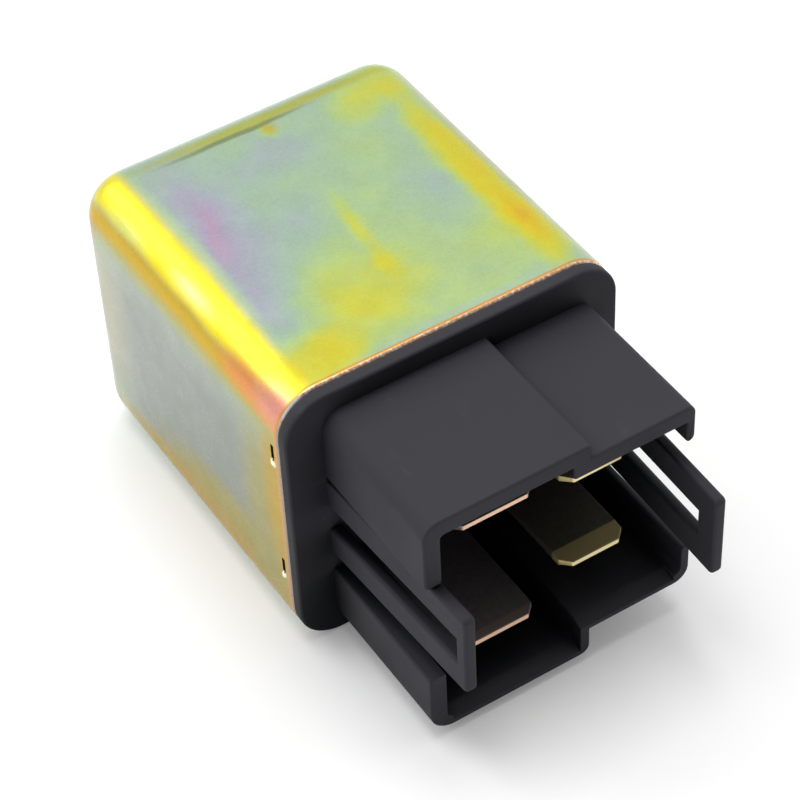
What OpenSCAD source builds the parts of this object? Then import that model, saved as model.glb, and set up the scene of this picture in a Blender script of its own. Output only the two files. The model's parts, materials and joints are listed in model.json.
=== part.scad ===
// Automotive relay in a drawn steel can, with a keyed four-blade connector.
// X runs across the connector, Y runs along the plug axis with the mouth
// towards -Y, and Z points up from the can's lower side, on which it rests.
// The origin is the middle of that side.

/* [Can] */
// Width of the can
can_w = 32; // [30:0.5:36]
// Height of the can
can_h = 27.9; // [26.5:0.1:32]
// Depth of the can from its rim to the closed end
can_d = 33.5; // [33:0.5:40]
// Thickness of the drawn sheet
sheet = 0.6; // [0.4:0.1:0.8]
// Outside rounding of the four long edges
can_edge_r = 4; // [3:0.1:5]
// Outside rounding of the closed end
can_end_r = 3.1; // [2:0.1:4]
// Length of each crimp window beside the rim
crimp_len = 1.6; // [1:0.1:2.5]
// Width of each crimp window
crimp_w = 0.45; // [0.3:0.05:0.8]
// Distance from the rim to the middle of a crimp window
crimp_inset = 0.9; // [0.8:0.1:1.5]
// Distance between the two crimp windows of one side
crimp_pitch = 13.6; // [10:0.1:16]
// Height of their middle above the can's middle
crimp_lift = 1.3; // [0:0.1:2]

/* [Base] */
// Thickness of the flange outside the rim
flange_t = 1.25; // [0.8:0.05:2]
// Step from the can's side in to the flange's edge
flange_step = 0.05; // [0.05:0.05:0.5]
// Depth of the base inside the can
plug_t = 3.6; // [3:0.1:5]
// Gap between the base and the can's inner wall
plug_gap = 0.12; // [0.05:0.01:0.25]
// Depth of the connector's floor behind the flange's front
floor_inset = 0.8; // [0:0.1:1.5]
// Depth of the channels for the coil blades' feet
channel_d = 1.7; // [1.4:0.1:2]

/* [Seal] */
// Width of the sealing ring along the plug axis
seal_w = 1.3; // [0.8:0.1:1.8]
// Depth of its groove round the base
seal_groove = 0.8; // [0.5:0.1:1.2]

/* [Connector] */
// Width of the connector's shroud
shroud_w = 25.7; // [24:0.1:27]
// Distance of the shroud's middle from the can's middle towards the lower half
shroud_shift = 0.3; // [0:0.05:0.5]
// Length of the shroud in front of the flange
shroud_len = 14.6; // [12:0.2:18]
// Height of the taller half's top above the can's middle
shroud_up = 11.95; // [11:0.05:12.5]
// Depth of the taller half's bottom below the can's middle
shroud_down = 12.9; // [12:0.05:13.2]
// Drop of the top from the taller half to the lower one
key_top = 1.4; // [0.8:0.1:2]
// Rise of the bottom from the taller half to the lower one
key_bottom = 2.8; // [2:0.1:3.6]
// Place of the step between the halves
key_x = 3.1; // [2:0.1:3.6]
// Thickness of the top wall
shroud_wall = 1.7; // [1.2:0.1:2]
// Thickness of the bottom wall
floor_wall = 1; // [0.8:0.1:1.4]
// Thickness of the step between the halves of the bottom wall
step_wall = 0.9; // [0.7:0.1:1.4]
// Thickness of the taller half's side wall
side_wall = 1.6; // [1.2:0.1:1.8]
// Thickness of the lower half's side wall
thin_wall = 0.8; // [0.6:0.1:0.9]
// Thickness that the bevel at the mouth leaves of the bottom wall
rim_t = 0.5; // [0.4:0.1:0.7]
// Length of that bevel
bevel_len = 1.5; // [0.8:0.1:2.5]
// Rounding of the top long edge on the taller half
top_r = 1.6; // [1:0.1:2.5]
// Rounding of the bottom long edge on the taller half
bottom_r = 2.3; // [1.5:0.1:3]
// Rounding of the other long edges
small_r = 0.9; // [0.4:0.1:1.4]
// Rounding of the top step's edge
step_r = 0.4; // [0.2:0.1:0.8]
// Rounding of the bottom long edge on the lower half
heel_r = 1.5; // [1:0.1:3]
// Rounding of the lower edge of the lower half's upper side wall
lip_r = 0.6; // [0.2:0.1:0.6]

/* [Latch arms] */
// Height of the taller half's side window above the can's middle
window_up = 4.9; // [4.2:0.1:5.5]
// Extra height of the lower half's side window
window_more = 1.7; // [0.5:0.1:2]
// Depth of both windows' lower edge below the can's middle
window_down = 6.1; // [5:0.1:7]
// Gap between the first window's upper edge and the arm
arm_gap = 0.35; // [0.2:0.05:0.6]
// Thickness of an arm
arm_t = 1.1; // [0.9:0.1:1.4]
// Height of the upper bar
bar_top = 3.1; // [2:0.1:4]
// Height of the slot between the bars
arm_slot = 2.6; // [2:0.1:3.2]
// Height of the lower bar
bar_low = 3; // [2:0.1:4]
// Length by which the arm on the taller half passes the mouth
left_reach = 4.1; // [3.8:0.1:6]
// Length by which the arm on the lower half passes the mouth
right_reach = 5.1; // [3.8:0.1:6]
// Length by which the slots pass the mouth
slot_reach = 2.7; // [1.5:0.1:3]
// Rounding of a tip's corners
tip_r = 0.5; // [0.2:0.1:1.2]
// Inward set of the arm on the taller half in degrees
left_lean = 2.7; // [0:0.1:4]
// Inward set of the arm on the lower half in degrees
right_lean = 1.6; // [0:0.1:4]

/* [Blades] */
// Width of the two contact blades
wide_blade = 7.8; // [7:0.1:8]
// Width of the two coil blades
slim_blade = 6.3; // [6:0.1:6.8]
// Thickness of every blade
blade_t = 0.8; // [0.7:0.05:1]
// Distance of each column of blades from the middle
blade_x = 4.85; // [4.6:0.05:5.2]
// Distance from the mouth back to the blade tips
blade_inset = 1.7; // [1:0.1:4]
// Height of the upper contact blade above the can's middle
feed_z = 7.7; // [7:0.1:8.2]
// Depth of the lower contact blade below the can's middle
load_z = 6.8; // [6:0.1:7.2]
// Height of the upper coil blade above the can's middle
coil_up_z = 6.7; // [6:0.1:7]
// Depth of the lower coil blade below the can's middle
coil_low_z = 3.3; // [2.8:0.1:4]
// Length and width of the chamfer at a blade's tip corners
tip_cut = 0.9; // [0.5:0.1:1.4]
// Length of the coined bevel at a blade's tip
coin_len = 1.8; // [1:0.1:2.5]
// Thickness left at the tip's edge
coin_t = 0.45; // [0.3:0.05:0.6]
// Clearance of a blade in its slot
slot_gap = 0.04; // [0.02:0.01:0.1]
// Width of the coil blades' narrow feet
tag_w = 3; // [2:0.2:4]
// Height of their tags above the yoke's heel
tag_h = 4; // [3:0.1:5]
// Distance from the bobbin's flanges to the middle of a tag
tag_gap = 1.8; // [1.4:0.1:2.2]

/* [Coil] */
// Length of the bobbin
bobbin_len = 19.5; // [17:0.5:21]
// Width of the bobbin's flanges
bobbin_w = 16.6; // [15:0.1:17]
// Thickness of the bobbin's flanges
bobbin_flange = 0.9; // [0.6:0.1:1.2]
// Thickness of the bobbin's tube
bobbin_wall = 0.7; // [0.5:0.1:1]
// Diameter of the iron core
core_d = 6.4; // [5:0.1:7]
// Clearance between the core and the bobbin
core_gap = 0.08; // [0.04:0.01:0.15]
// Diameter of the core's pole face
pole_d = 9.2; // [8:0.1:10]
// Thickness of the pole face
pole_t = 1.2; // [0.8:0.1:1.6]
// Diameter of the core's stake in the yoke
stake_d = 4.4; // [3.5:0.1:5]
// Diameter over the wire
winding_d = 14.8; // [12:0.1:15.4]
// Thickness of the tape over the wire
tape_t = 0.12; // [0.05:0.01:0.2]
// Diameter of the wire ends that reach the coil blades
lead_d = 0.4; // [0.3:0.05:0.5]
// Distance of those ends from the bobbin's flange
lead_gap = 0.8; // [0.5:0.1:1.2]

/* [Yoke] */
// Thickness of the yoke's steel
yoke_t = 1.5; // [1.2:0.1:1.8]
// Width of the yoke
yoke_w = 14; // [13:0.5:14.5]
// Distance from the yoke's leg to the can's inner wall
leg_wall = 3.7; // [3.4:0.1:4.4]
// Length by which the yoke's heel passes the coil's axis
heel_reach = 6; // [5:0.5:7]
// Diameter of the two studs that hold the yoke in the base
stud_d = 2.2; // [1.6:0.1:2.6]
// Length of those studs
stud_h = 1.3; // [0.8:0.1:1.6]
// Distance of a stud from the heel's end and from the leg
stud_inset = 1.7; // [1.4:0.1:2]
// Gap between the bobbin and the yoke's leg
leg_gap = 0.9; // [0.6:0.1:1.2]
// Height of the two ears that guide the armature
ear_h = 1.7; // [1.5:0.1:2.2]
// Width of each ear
ear_w = 1.6; // [1.2:0.1:2]

/* [Armature] */
// Thickness of the armature
armature_t = 1.3; // [1:0.1:1.6]
// Travel of the armature in degrees
travel = 2.2; // [1.5:0.1:2.5]
// Angle left between the armature and the pole when it is pulled in
last_gap = 0.3; // [0.2:0.1:0.6]
// Thickness of the contact arm's strip
strip_t = 0.35; // [0.25:0.05:0.5]
// Width of the contact arm's strip
strip_w = 6; // [4:0.2:7]
// Diameter of the two rivets that join the strip and the armature
rivet_d = 1.8; // [1.4:0.1:2.2]
// Distance between those rivets
rivet_pitch = 5.6; // [4:0.1:7]
// Gap between the armature's ears and its seat
seat_gap = 0.15; // [0.1:0.05:0.3]
// Length by which the armature passes the pole face
armature_past = 2.8; // [2:0.1:3.2]
// Length by which the strip passes its rivets and its contact
strip_past = 1.1; // [0.6:0.1:1.2]
// Length of the tail that the spring pulls
tail_len = 2.6; // [2.2:0.1:2.9]
// Width of that tail
tail_w = 5; // [3:0.5:7]

/* [Contacts] */
// Diameter of the contact buttons
contact_d = 3.4; // [3:0.1:4]
// Thickness of a contact button
contact_t = 0.8; // [0.6:0.1:1]
// Distance from the contacts' middle to the can's inner wall
contact_wall = 4.4; // [4.2:0.1:4.9]
// Width of the strips that rise inside the can
riser_w = 4.4; // [3.5:0.1:5]
// Diameter of the shanks that hold the contacts
shank_d = 1.6; // [1.2:0.1:2]
// Thickness of the heads on the shanks and rivets
head_t = 0.4; // [0.3:0.05:0.6]

/* [Stop hooks] */
// Clearance between the hooks and the open armature
stop_gap = 0.12; // [0.08:0.02:0.25]
// Thickness of the two hooks on the bobbin
stop_t = 1.3; // [1:0.1:1.6]
// Width of each hook
stop_w = 2; // [1.5:0.1:2.5]

/* [Return spring] */
// Outside diameter of the spring
spring_d = 2.2; // [1.8:0.1:2.4]
// Diameter of its wire
spring_wire = 0.32; // [0.25:0.01:0.4]
// Number of turns
spring_turns = 11; // [6:1:14]
// Length of the straight wire beyond the turns at each end
spring_end = 1.2; // [0.8:0.1:1.6]
// Distance from the pole face down to the tab that holds the spring
spring_room = 10; // [8:0.5:12]
// Thickness of that tab
tab_t = 1; // [0.8:0.1:1.3]
// Half the width of that tab
tab_half = 1.6; // [1.2:0.1:2.2]
// Distance of the spring's axis from the yoke's leg
hook_reach = 1.5; // [1.3:0.1:1.7]
// Diameter of the holes for the spring's hooks
hook_hole = 1; // [0.8:0.1:1.1]

/* [Resistor] */
// Diameter of the suppression resistor's body
resistor_d = 2; // [1.6:0.1:2.2]
// Length of its body
resistor_len = 6.2; // [5:0.1:7]

/* [Braid] */
// Width of the braid that feeds the contact arm
braid_w = 3; // [2:0.2:4]
// Thickness of the braid
braid_t = 0.6; // [0.4:0.1:0.8]
// Radius of its upper loop
braid_r = 1.6; // [1.3:0.1:1.8]
// Radius of the bend above the strip
land_r = 0.7; // [0.5:0.1:0.9]
// Length by which the braid rises free of its riser
braid_free = 1; // [0.6:0.1:1.6]

/* [Hidden] */
$fn = 64;
// Overrun that carries a cut or a joint past a face
over = 0.5;
// Air round pieces that only have to be clear of each other
play = 0.03;
mid_z = can_h / 2;
crimp_z = mid_z + crimp_lift;
rim_y = -can_d / 2;
in_w = can_w - 2 * sheet;
in_h = can_h - 2 * sheet;
flange_y = rim_y - flange_t;
mouth_y = flange_y - shroud_len;
floor_y = flange_y + floor_inset;
plug_y = rim_y + plug_t;
channel_y = plug_y - channel_d;
tip_y = mouth_y + blade_inset;
// Edges of the shroud, seen along the plug axis
shroud_left = shroud_shift - shroud_w / 2;
shroud_right = shroud_shift + shroud_w / 2;
tall_top = mid_z + shroud_up;
tall_bottom = mid_z - shroud_down;
low_top = tall_top - key_top;
low_bottom = tall_bottom + key_bottom;
// Levels of the side windows, the arms' bars and their slots
left_top = mid_z + window_up;
right_top = left_top + window_more;
window_bottom = mid_z - window_down;
arm_top = left_top - arm_gap;
slot_top = arm_top - bar_top;
slot_bottom = slot_top - arm_slot;
arm_bottom = slot_bottom - bar_low;
// Middle heights of the four blades
feed_blade_z = mid_z + feed_z;
load_blade_z = mid_z - load_z;
upper_blade_z = mid_z + coil_up_z;
lower_blade_z = mid_z - coil_low_z;
// Coil stack, from the base's inner face towards the closed end
heel_top = plug_y + yoke_t;
bobbin_top = heel_top + bobbin_len;
pole_y = bobbin_top + pole_t;
leg_x = in_w / 2 - leg_wall;
leg_in_x = leg_x - yoke_t;
coil_x = leg_in_x - leg_gap - bobbin_w / 2;
heel_end_x = coil_x - heel_reach;
stud_x = [heel_end_x + stud_inset, leg_in_x - stud_inset];
// Feet and tags of the coil blades
foot_y = channel_y + play;
tag_y = heel_top + tag_h;
tag_off = bobbin_w / 2 + tag_gap;
lead_y = heel_top + bobbin_flange + lead_gap;
// Armature in its own flat frame, with the pivot at the leg's outer edge
pivot_y = pole_y + play;
rest_angle = travel + last_gap;
armature_w = yoke_w - 1;
neck_w = yoke_w - 2 * ear_w - 2 * seat_gap;
pole_reach = leg_x - coil_x;
free_end = pole_reach + pole_d / 2 + armature_past;
contact_x = in_w / 2 - contact_wall;
contact_reach = leg_x + contact_x;
strip_end = contact_reach + contact_d / 2 + strip_past;
strip_start = pole_reach - (rivet_pitch + rivet_d) / 2 - strip_past;
strip_top = armature_t + strip_t;
rivet_reach = [pole_reach - rivet_pitch / 2, pole_reach + rivet_pitch / 2];
hook_x = leg_x + hook_reach;
// Height of a point of the flat armature when it stands at an angle
function lifted(reach, level, angle) = pivot_y + reach * sin(angle) + level * cos(angle);
fixed_top = lifted(contact_reach, armature_t - contact_t, last_gap) - play;
shelf_y = fixed_top - contact_t;
riser_x = [-contact_x - riser_w / 2, -contact_x + riser_w / 2];
// Stop hooks beside the armature's free end
stop_y = lifted(free_end, armature_t, rest_angle) + stop_gap;
stop_x = leg_x - free_end - 0.5;
stop_z = armature_w / 2 - stop_w / 2 - 0.4;
// Tab on the leg for the return spring
tab_y = pole_y - spring_room;
// Braid: foot on the feed blade's riser, loop and landing on the strip
braid_z = feed_blade_z - blade_t / 2 - play - braid_t / 2;
braid_low = pole_y - 1;
braid_end_y = lifted(contact_reach + braid_w / 2, strip_top, rest_angle) + play + braid_t / 2;
loop_y = braid_end_y + land_r + 0.6;
resistor_x = (leg_x + in_w / 2) / 2;
resistor_y = tag_y - 0.8;

// Rectangle with a rounding of its own at each corner: bottom left, bottom right, top right, top left
module panel(x0, x1, z0, z1, r) {
    corners = [[x0, z0, 1, 1], [x1, z0, -1, 1], [x1, z1, -1, -1], [x0, z1, 1, -1]];
    difference() {
        translate([x0, z0]) square([x1 - x0, z1 - z0]);
        for (i = [0:3]) if (r[i] > 0)
            translate([corners[i][0], corners[i][1]]) square(2 * r[i], center = true);
    }
    for (i = [0:3]) if (r[i] > 0)
        translate([corners[i][0] + corners[i][2] * r[i], corners[i][1] + corners[i][3] * r[i]]) circle(r[i]);
}

// Panel round the can's middle line with one rounding
module plate(w, h, r) {
    panel(-w / 2, w / 2, mid_z - h / 2, mid_z + h / 2, [r, r, r, r]);
}

// Extrudes a front view along the plug axis between two depths
module along_y(y0, y1) {
    translate([0, y1, 0]) rotate([90, 0, 0]) linear_extrude(y1 - y0) children();
}

// Box given by two corners
module block(a, b) {
    translate(a) cube(b - a);
}

// Cylinder along Y round the point x, z
module bar_y(x, z, d, y0, y1) {
    translate([x, y1, z]) rotate([90, 0, 0]) cylinder(d = d, h = y1 - y0);
}

// Round rod between two points
module rod(p, q, d) {
    v = q - p;
    translate(p) rotate([0, acos(v[2] / norm(v)), atan2(v[1], v[0])]) cylinder(d = d, h = norm(v), $fn = 24);
}

// Wire through a list of points with a round bend at each
module bent_wire(points, d) {
    for (i = [0:len(points) - 2]) rod(points[i], points[i + 1], d);
    for (i = [1:len(points) - 2]) translate(points[i]) sphere(d = d, $fn = 24);
}

function unit(v) = v / norm(v);

// Three points that round off the corner p between a and b
function bend(p, a, b, s) =
    [p + s * unit(a - p), p + 0.3 * s * (unit(a - p) + unit(b - p)), p + s * unit(b - p)];

// Direction of a path at point i
function heading(path, i) = unit(path[min(i + 1, len(path) - 1)] - path[max(i - 1, 0)]);

// Side vectors carried along a path without twist
function carried(path, i, side) = i == len(path) - 1 ? [side] :
    let (t = heading(path, i + 1), next = side - (side * t) * t)
        concat([side], carried(path, i + 1, unit(next)));

// Round wire of diameter d along a path
module swept(path, d, side) {
    m = 8;
    n = len(path);
    sides = carried(path, 0, side);
    points = [for (i = [0:n - 1]) for (k = [0:m - 1])
        let (t = heading(path, i), a = 360 * k / m)
            path[i] + d / 2 * (cos(a) * sides[i] + sin(a) * cross(t, sides[i]))];
    walls = [for (i = [0:n - 2]) for (k = [0:m - 1])
        let (j = (k + 1) % m) [i * m + k, (i + 1) * m + k, (i + 1) * m + j, i * m + j]];
    first = [for (k = [0:m - 1]) k];
    last = [for (k = [0:m - 1]) n * m - 1 - k];
    polyhedron(points, concat(walls, [first, last]), convexity = 10);
}

// Side view of a drawn box with its closed end rounded; its open end can start early
module drawn_outline(w, d, e, early) {
    translate([-w / 2, -early]) square([w, d - e + early]);
    translate([-w / 2 + e, 0]) square([w - 2 * e, d]);
    for (s = [-1, 1]) translate([s * (w / 2 - e), d - e]) circle(e);
}

// Half section of a drawn box's corner
module drawn_corner(d, r, e, early) {
    translate([0, -early]) square([r, d - e + early]);
    square([r - e, d]);
    intersection() {
        translate([r - e, d - e]) circle(e);
        square([r, d]);
    }
}

// Drawn box with round long edges and a round closed end, from the rim towards +Y
module drawn_box(w, h, d, r, e, early) {
    translate([0, rim_y, mid_z]) rotate([-90, 0, 0]) {
        rotate([90, 0, 0]) linear_extrude(h - 2 * r, center = true) drawn_outline(w, d, e, early);
        rotate([90, 0, 90]) linear_extrude(w - 2 * r, center = true) drawn_outline(h, d, e, early);
        for (sx = [-1, 1]) for (sz = [-1, 1])
            translate([sx * (w / 2 - r), sz * (h / 2 - r), 0]) rotate_extrude() drawn_corner(d, r, e, early);
    }
}

module can() {
    color("goldenrod") difference() {
        drawn_box(can_w, can_h, can_d, can_edge_r, can_end_r, 0);
        drawn_box(in_w, in_h, can_d - sheet, can_edge_r - sheet, can_end_r - sheet, over);
        for (side = [-1, 1]) for (s = [-1, 1])
            translate([side * (can_w - sheet) / 2, rim_y + crimp_inset, crimp_z + s * crimp_pitch / 2])
                cube([sheet + over, crimp_w, crimp_len], center = true);
    }
}

// Front view of the shroud's outside
module shroud_outline() {
    panel(shroud_left, key_x, tall_bottom, tall_top, [bottom_r, small_r, step_r, top_r]);
    panel(shroud_left + bottom_r, shroud_right, low_bottom, low_top, [0, heel_r, small_r, 0]);
}

// Front view of the socket inside the shroud
module socket_outline() {
    left = shroud_left + side_wall;
    right = shroud_right - thin_wall;
    corner = heel_r - thin_wall;
    panel(left, key_x - shroud_wall, mid_z, tall_top - shroud_wall, [0, 0, 0.2, 0.4]);
    panel(left, key_x - step_wall, tall_bottom + floor_wall, mid_z + over, [0.6, 0.2, 0, 0]);
    panel(left + 1, right, low_bottom + floor_wall, low_top - shroud_wall, [0, corner, 0.2, 0]);
}

// Bevel that thins a bottom wall at the mouth, with the wall's inner face at level z
module mouth_bevel(x0, x1, z) {
    drop = floor_wall - rim_t;
    translate([x0, 0, 0]) rotate([90, 0, 90]) linear_extrude(x1 - x0) polygon([
        [mouth_y - over, z - drop * (1 + over / bevel_len)], [mouth_y + bevel_len, z],
        [mouth_y + bevel_len, z + over], [mouth_y - over, z + over]]);
}

// Front view of the windows in both side walls; the second one's upper edge is rounded outside
module window_outline() {
    translate([shroud_left - over, window_bottom]) square([side_wall + 2 * over, left_top - window_bottom]);
    translate([shroud_right - thin_wall - over, window_bottom])
        square([thin_wall + 2 * over, right_top - window_bottom]);
    difference() {
        translate([shroud_right - lip_r, right_top - over]) square([lip_r + over, lip_r + over]);
        translate([shroud_right - lip_r, right_top + lip_r]) circle(lip_r);
    }
}

// Side view of an arm: two bars, the slot between them and the plate that joins them at the tip
module arm_outline(reach) {
    bars_y = mouth_y - slot_reach;
    root_y = flange_y + flange_t / 3;
    panel(mouth_y - reach, bars_y, arm_bottom, arm_top, [tip_r, 0, 0, tip_r]);
    for (z = [[arm_bottom, slot_bottom], [slot_top, arm_top]])
        translate([bars_y - over, z[0]]) square([root_y - bars_y + over, z[1] - z[0]]);
}

// Arm with its outer face at x on the side wall, set inwards from its root
module latch_arm(side, x, lean, reach) {
    translate([x, flange_y, 0]) rotate([0, 0, -side * lean])
        translate([-side * arm_t / 2, -flange_y, 0]) rotate([90, 0, 90])
            linear_extrude(arm_t, center = true) arm_outline(reach);
}

// Slot for a blade that stands across the connector
module blade_slot(x, z, w) {
    block([x - w / 2 - slot_gap, floor_y - over, z - blade_t / 2 - slot_gap],
        [x + w / 2 + slot_gap, plug_y + over, z + blade_t / 2 + slot_gap]);
}

// Pocket in the base's inner face
module channel(x0, x1, z0, z1) {
    block([x0 - play, channel_y, z0 - play], [x1 + play, plug_y + over, z1 + play]);
}

// Ring round the plug, with its depth in the plug and its height above the plug's side
module seal_ring(w, deep, proud) {
    plug_w = in_w - 2 * plug_gap;
    plug_h = in_h - 2 * plug_gap;
    r = can_edge_r - sheet - plug_gap;
    middle = (rim_y + plug_y) / 2;
    along_y(middle - w / 2, middle + w / 2) difference() {
        plate(plug_w + 2 * proud, plug_h + 2 * proud, r + proud);
        plate(plug_w - 2 * deep, plug_h - 2 * deep, r - deep);
    }
}

module base() {
    color("#2b2d30") {
        difference() {
            union() {
                along_y(flange_y, rim_y)
                    plate(can_w - 2 * flange_step, can_h - 2 * flange_step, can_edge_r - flange_step);
                along_y(rim_y - over, plug_y)
                    plate(in_w - 2 * plug_gap, in_h - 2 * plug_gap, can_edge_r - sheet - plug_gap);
                along_y(mouth_y, flange_y + over) shroud_outline();
            }
            along_y(mouth_y - over, floor_y) socket_outline();
            mouth_bevel(shroud_left + side_wall + 0.6, key_x - step_wall, tall_bottom + floor_wall);
            mouth_bevel(key_x - step_wall, shroud_right - heel_r, low_bottom + floor_wall);
            along_y(mouth_y - over, flange_y) window_outline();
            blade_slot(-blade_x, feed_blade_z, wide_blade);
            blade_slot(-blade_x, load_blade_z, wide_blade);
            blade_slot(blade_x, upper_blade_z, slim_blade);
            blade_slot(blade_x, lower_blade_z, slim_blade);
            for (z = [feed_blade_z, load_blade_z])
                channel(riser_x[0], wide_blade / 2 - blade_x, z - blade_t / 2, z + blade_t / 2);
            channel(blade_x - tag_w / 2, blade_x + tag_w / 2,
                mid_z - tag_off - blade_t / 2, lower_blade_z + blade_t / 2);
            channel(blade_x - tag_w / 2, blade_x + tag_w / 2,
                upper_blade_z - blade_t / 2, mid_z + tag_off + blade_t / 2);
            for (x = stud_x) bar_y(x, mid_z, stud_d + 2 * play, plug_y - stud_h - play, plug_y + over);
            seal_ring(seal_w, seal_groove, plug_gap + over);
        }
        latch_arm(-1, shroud_left, left_lean, left_reach);
        latch_arm(1, shroud_right, right_lean, right_reach);
    }
}

module base_seal() {
    color("#8a4b2f") seal_ring(seal_w - 2 * play, seal_groove - play, plug_gap - play);
}

// Strip across the connector with a chamfered and coined tip at y0
module blade(x, z, w, y0, y1) {
    flare = over * (blade_t - coin_t) / 2 / coin_len;
    translate([x, 0, z]) difference() {
        linear_extrude(blade_t, center = true) polygon([
            [-w / 2, y1], [-w / 2, y0 + tip_cut], [-w / 2 + tip_cut, y0],
            [w / 2 - tip_cut, y0], [w / 2, y0 + tip_cut], [w / 2, y1]]);
        for (s = [-1, 1]) rotate([90, 0, 90]) linear_extrude(w + over, center = true) polygon([
            [y0 - over, s * (coin_t / 2 - flare)], [y0 + coin_len, s * blade_t / 2],
            [y0 + coin_len, s * blade_t], [y0 - over, s * blade_t]]);
    }
}

// Contact blade whose strip steps aside in the base and rises beside the coil
module contact_terminal(z, top) {
    blade(-blade_x, z, wide_blade, tip_y, plug_y - over);
    block([riser_x[0], foot_y, z - blade_t / 2], [wide_blade / 2 - blade_x, plug_y - over, z + blade_t / 2]);
    block([riser_x[0], foot_y, z - blade_t / 2], [riser_x[1], top, z + blade_t / 2]);
}

module feed_terminal() {
    color("#b87333") contact_terminal(feed_blade_z, loop_y - braid_free);
}

module load_terminal() {
    color("#b87333") difference() {
        union() {
            contact_terminal(load_blade_z, shelf_y);
            block([riser_x[0], shelf_y - blade_t, load_blade_z - blade_t / 2],
                [riser_x[1], shelf_y, mid_z + contact_d / 2 + over]);
        }
        bar_y(-contact_x, mid_z, shank_d + 2 * play, shelf_y - blade_t - over, shelf_y + over);
    }
}

// Coil blade whose narrow foot runs under the yoke and turns up as a tag
module coil_terminal(z, side) {
    tag = mid_z + side * tag_off;
    x0 = blade_x - tag_w / 2;
    x1 = blade_x + tag_w / 2;
    blade(blade_x, z, slim_blade, tip_y, foot_y + blade_t);
    block([x0, foot_y, min(z, tag) - blade_t / 2], [x1, foot_y + blade_t, max(z, tag) + blade_t / 2]);
    block([x0, foot_y, tag - blade_t / 2], [x1, tag_y, tag + blade_t / 2]);
}

module coil_terminal_upper() {
    color("#c9a227") coil_terminal(upper_blade_z, 1);
}

module coil_terminal_lower() {
    color("#c9a227") coil_terminal(lower_blade_z, -1);
}

module yoke() {
    color("#9a9da1") difference() {
        union() {
            block([heel_end_x, plug_y, mid_z - yoke_w / 2], [leg_x, heel_top, mid_z + yoke_w / 2]);
            block([leg_in_x, plug_y, mid_z - yoke_w / 2], [leg_x, pole_y, mid_z + yoke_w / 2]);
            for (s = [-1, 1]) translate([(leg_in_x + leg_x) / 2, pole_y, mid_z + s * (yoke_w - ear_w) / 2])
                cube([yoke_t, 2 * ear_h, ear_w], center = true);
            block([leg_x - over, tab_y, mid_z - tab_half],
                [hook_x + hook_hole / 2 + 0.8, tab_y + tab_t, mid_z + tab_half]);
            for (x = stud_x) bar_y(x, mid_z, stud_d, plug_y - stud_h, plug_y + over);
        }
        bar_y(coil_x, mid_z, stake_d + 2 * play, plug_y - over, heel_top + over);
        bar_y(hook_x, mid_z, hook_hole, tab_y - over, tab_y + tab_t + over);
    }
}

module core() {
    color("#b5b8bc") {
        bar_y(coil_x, mid_z, stake_d, plug_y, heel_top + over);
        bar_y(coil_x, mid_z, core_d, heel_top, bobbin_top + over);
        bar_y(coil_x, mid_z, pole_d, bobbin_top, pole_y);
    }
}

module bobbin() {
    bore = core_d + 2 * core_gap;
    half = bobbin_w / 2;
    color("#e8e4d8") difference() {
        union() {
            bar_y(coil_x, mid_z, bore + 2 * bobbin_wall, heel_top, bobbin_top);
            for (y = [heel_top, bobbin_top - bobbin_flange]) along_y(y, y + bobbin_flange)
                panel(coil_x - half, coil_x + half, mid_z - half, mid_z + half, [1.5, 1.5, 1.5, 1.5]);
            for (s = [-1, 1]) translate([0, 0, mid_z + s * stop_z - stop_w / 2]) {
                block([stop_x - stop_t, bobbin_top - bobbin_flange, 0],
                    [coil_x - half + over, bobbin_top, stop_w]);
                block([stop_x - stop_t, bobbin_top - bobbin_flange, 0], [stop_x, stop_y + stop_t, stop_w]);
                block([stop_x - stop_t, stop_y, 0], [stop_x + 1.8, stop_y + stop_t, stop_w]);
            }
        }
        bar_y(coil_x, mid_z, bore, heel_top - over, bobbin_top + over);
    }
}

// Layer round the coil's axis with its inner and outer diameter
module sleeve(d_in, d_out, y0, y1) {
    difference() {
        bar_y(coil_x, mid_z, d_out, y0, y1);
        bar_y(coil_x, mid_z, d_in, y0 - over, y1 + over);
    }
}

module coil_winding() {
    hub = core_d + 2 * core_gap + 2 * bobbin_wall + 2 * play;
    color("#a4561f")
        sleeve(hub, winding_d, heel_top + bobbin_flange + play, bobbin_top - bobbin_flange - play);
}

module winding_tape() {
    inner = winding_d + 2 * play;
    color("#d8b23a")
        sleeve(inner, inner + 2 * tape_t, lead_y + 1, bobbin_top - bobbin_flange - 0.3);
}

module coil_leads() {
    out = winding_d / 2 + lead_d / 2 + play;
    up = tag_off - blade_t / 2 - lead_d / 2 - play;
    color("#a4561f") for (s = [-1, 1]) bent_wire([
        [coil_x, lead_y, mid_z + s * out], [blade_x, lead_y, mid_z + s * out],
        [blade_x, lead_y, mid_z + s * up], [blade_x, tag_y - 0.3, mid_z + s * up]], lead_d);
}

module suppression_resistor() {
    side = tag_off + blade_t / 2 + lead_d / 2 + play;
    color("#3f6f9f") {
        translate([resistor_x, resistor_y, mid_z]) cylinder(d = resistor_d, h = resistor_len, center = true);
        bent_wire([
            [blade_x, resistor_y, mid_z - side], [resistor_x, resistor_y, mid_z - side],
            [resistor_x, resistor_y, mid_z + side], [blade_x, resistor_y, mid_z + side]], lead_d);
    }
}

module fixed_contact() {
    color("silver") {
        bar_y(-contact_x, mid_z, contact_d, shelf_y, fixed_top);
        bar_y(-contact_x, mid_z, shank_d, shelf_y - blade_t - head_t, shelf_y + play);
        bar_y(-contact_x, mid_z, 1.5 * shank_d, shelf_y - blade_t - head_t, shelf_y - blade_t);
    }
}

// Places a piece drawn flat on the leg's edge at the open position; reach runs towards -X
module on_armature() {
    translate([leg_x, pivot_y, mid_z]) rotate([0, 0, -rest_angle]) children();
}

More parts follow.
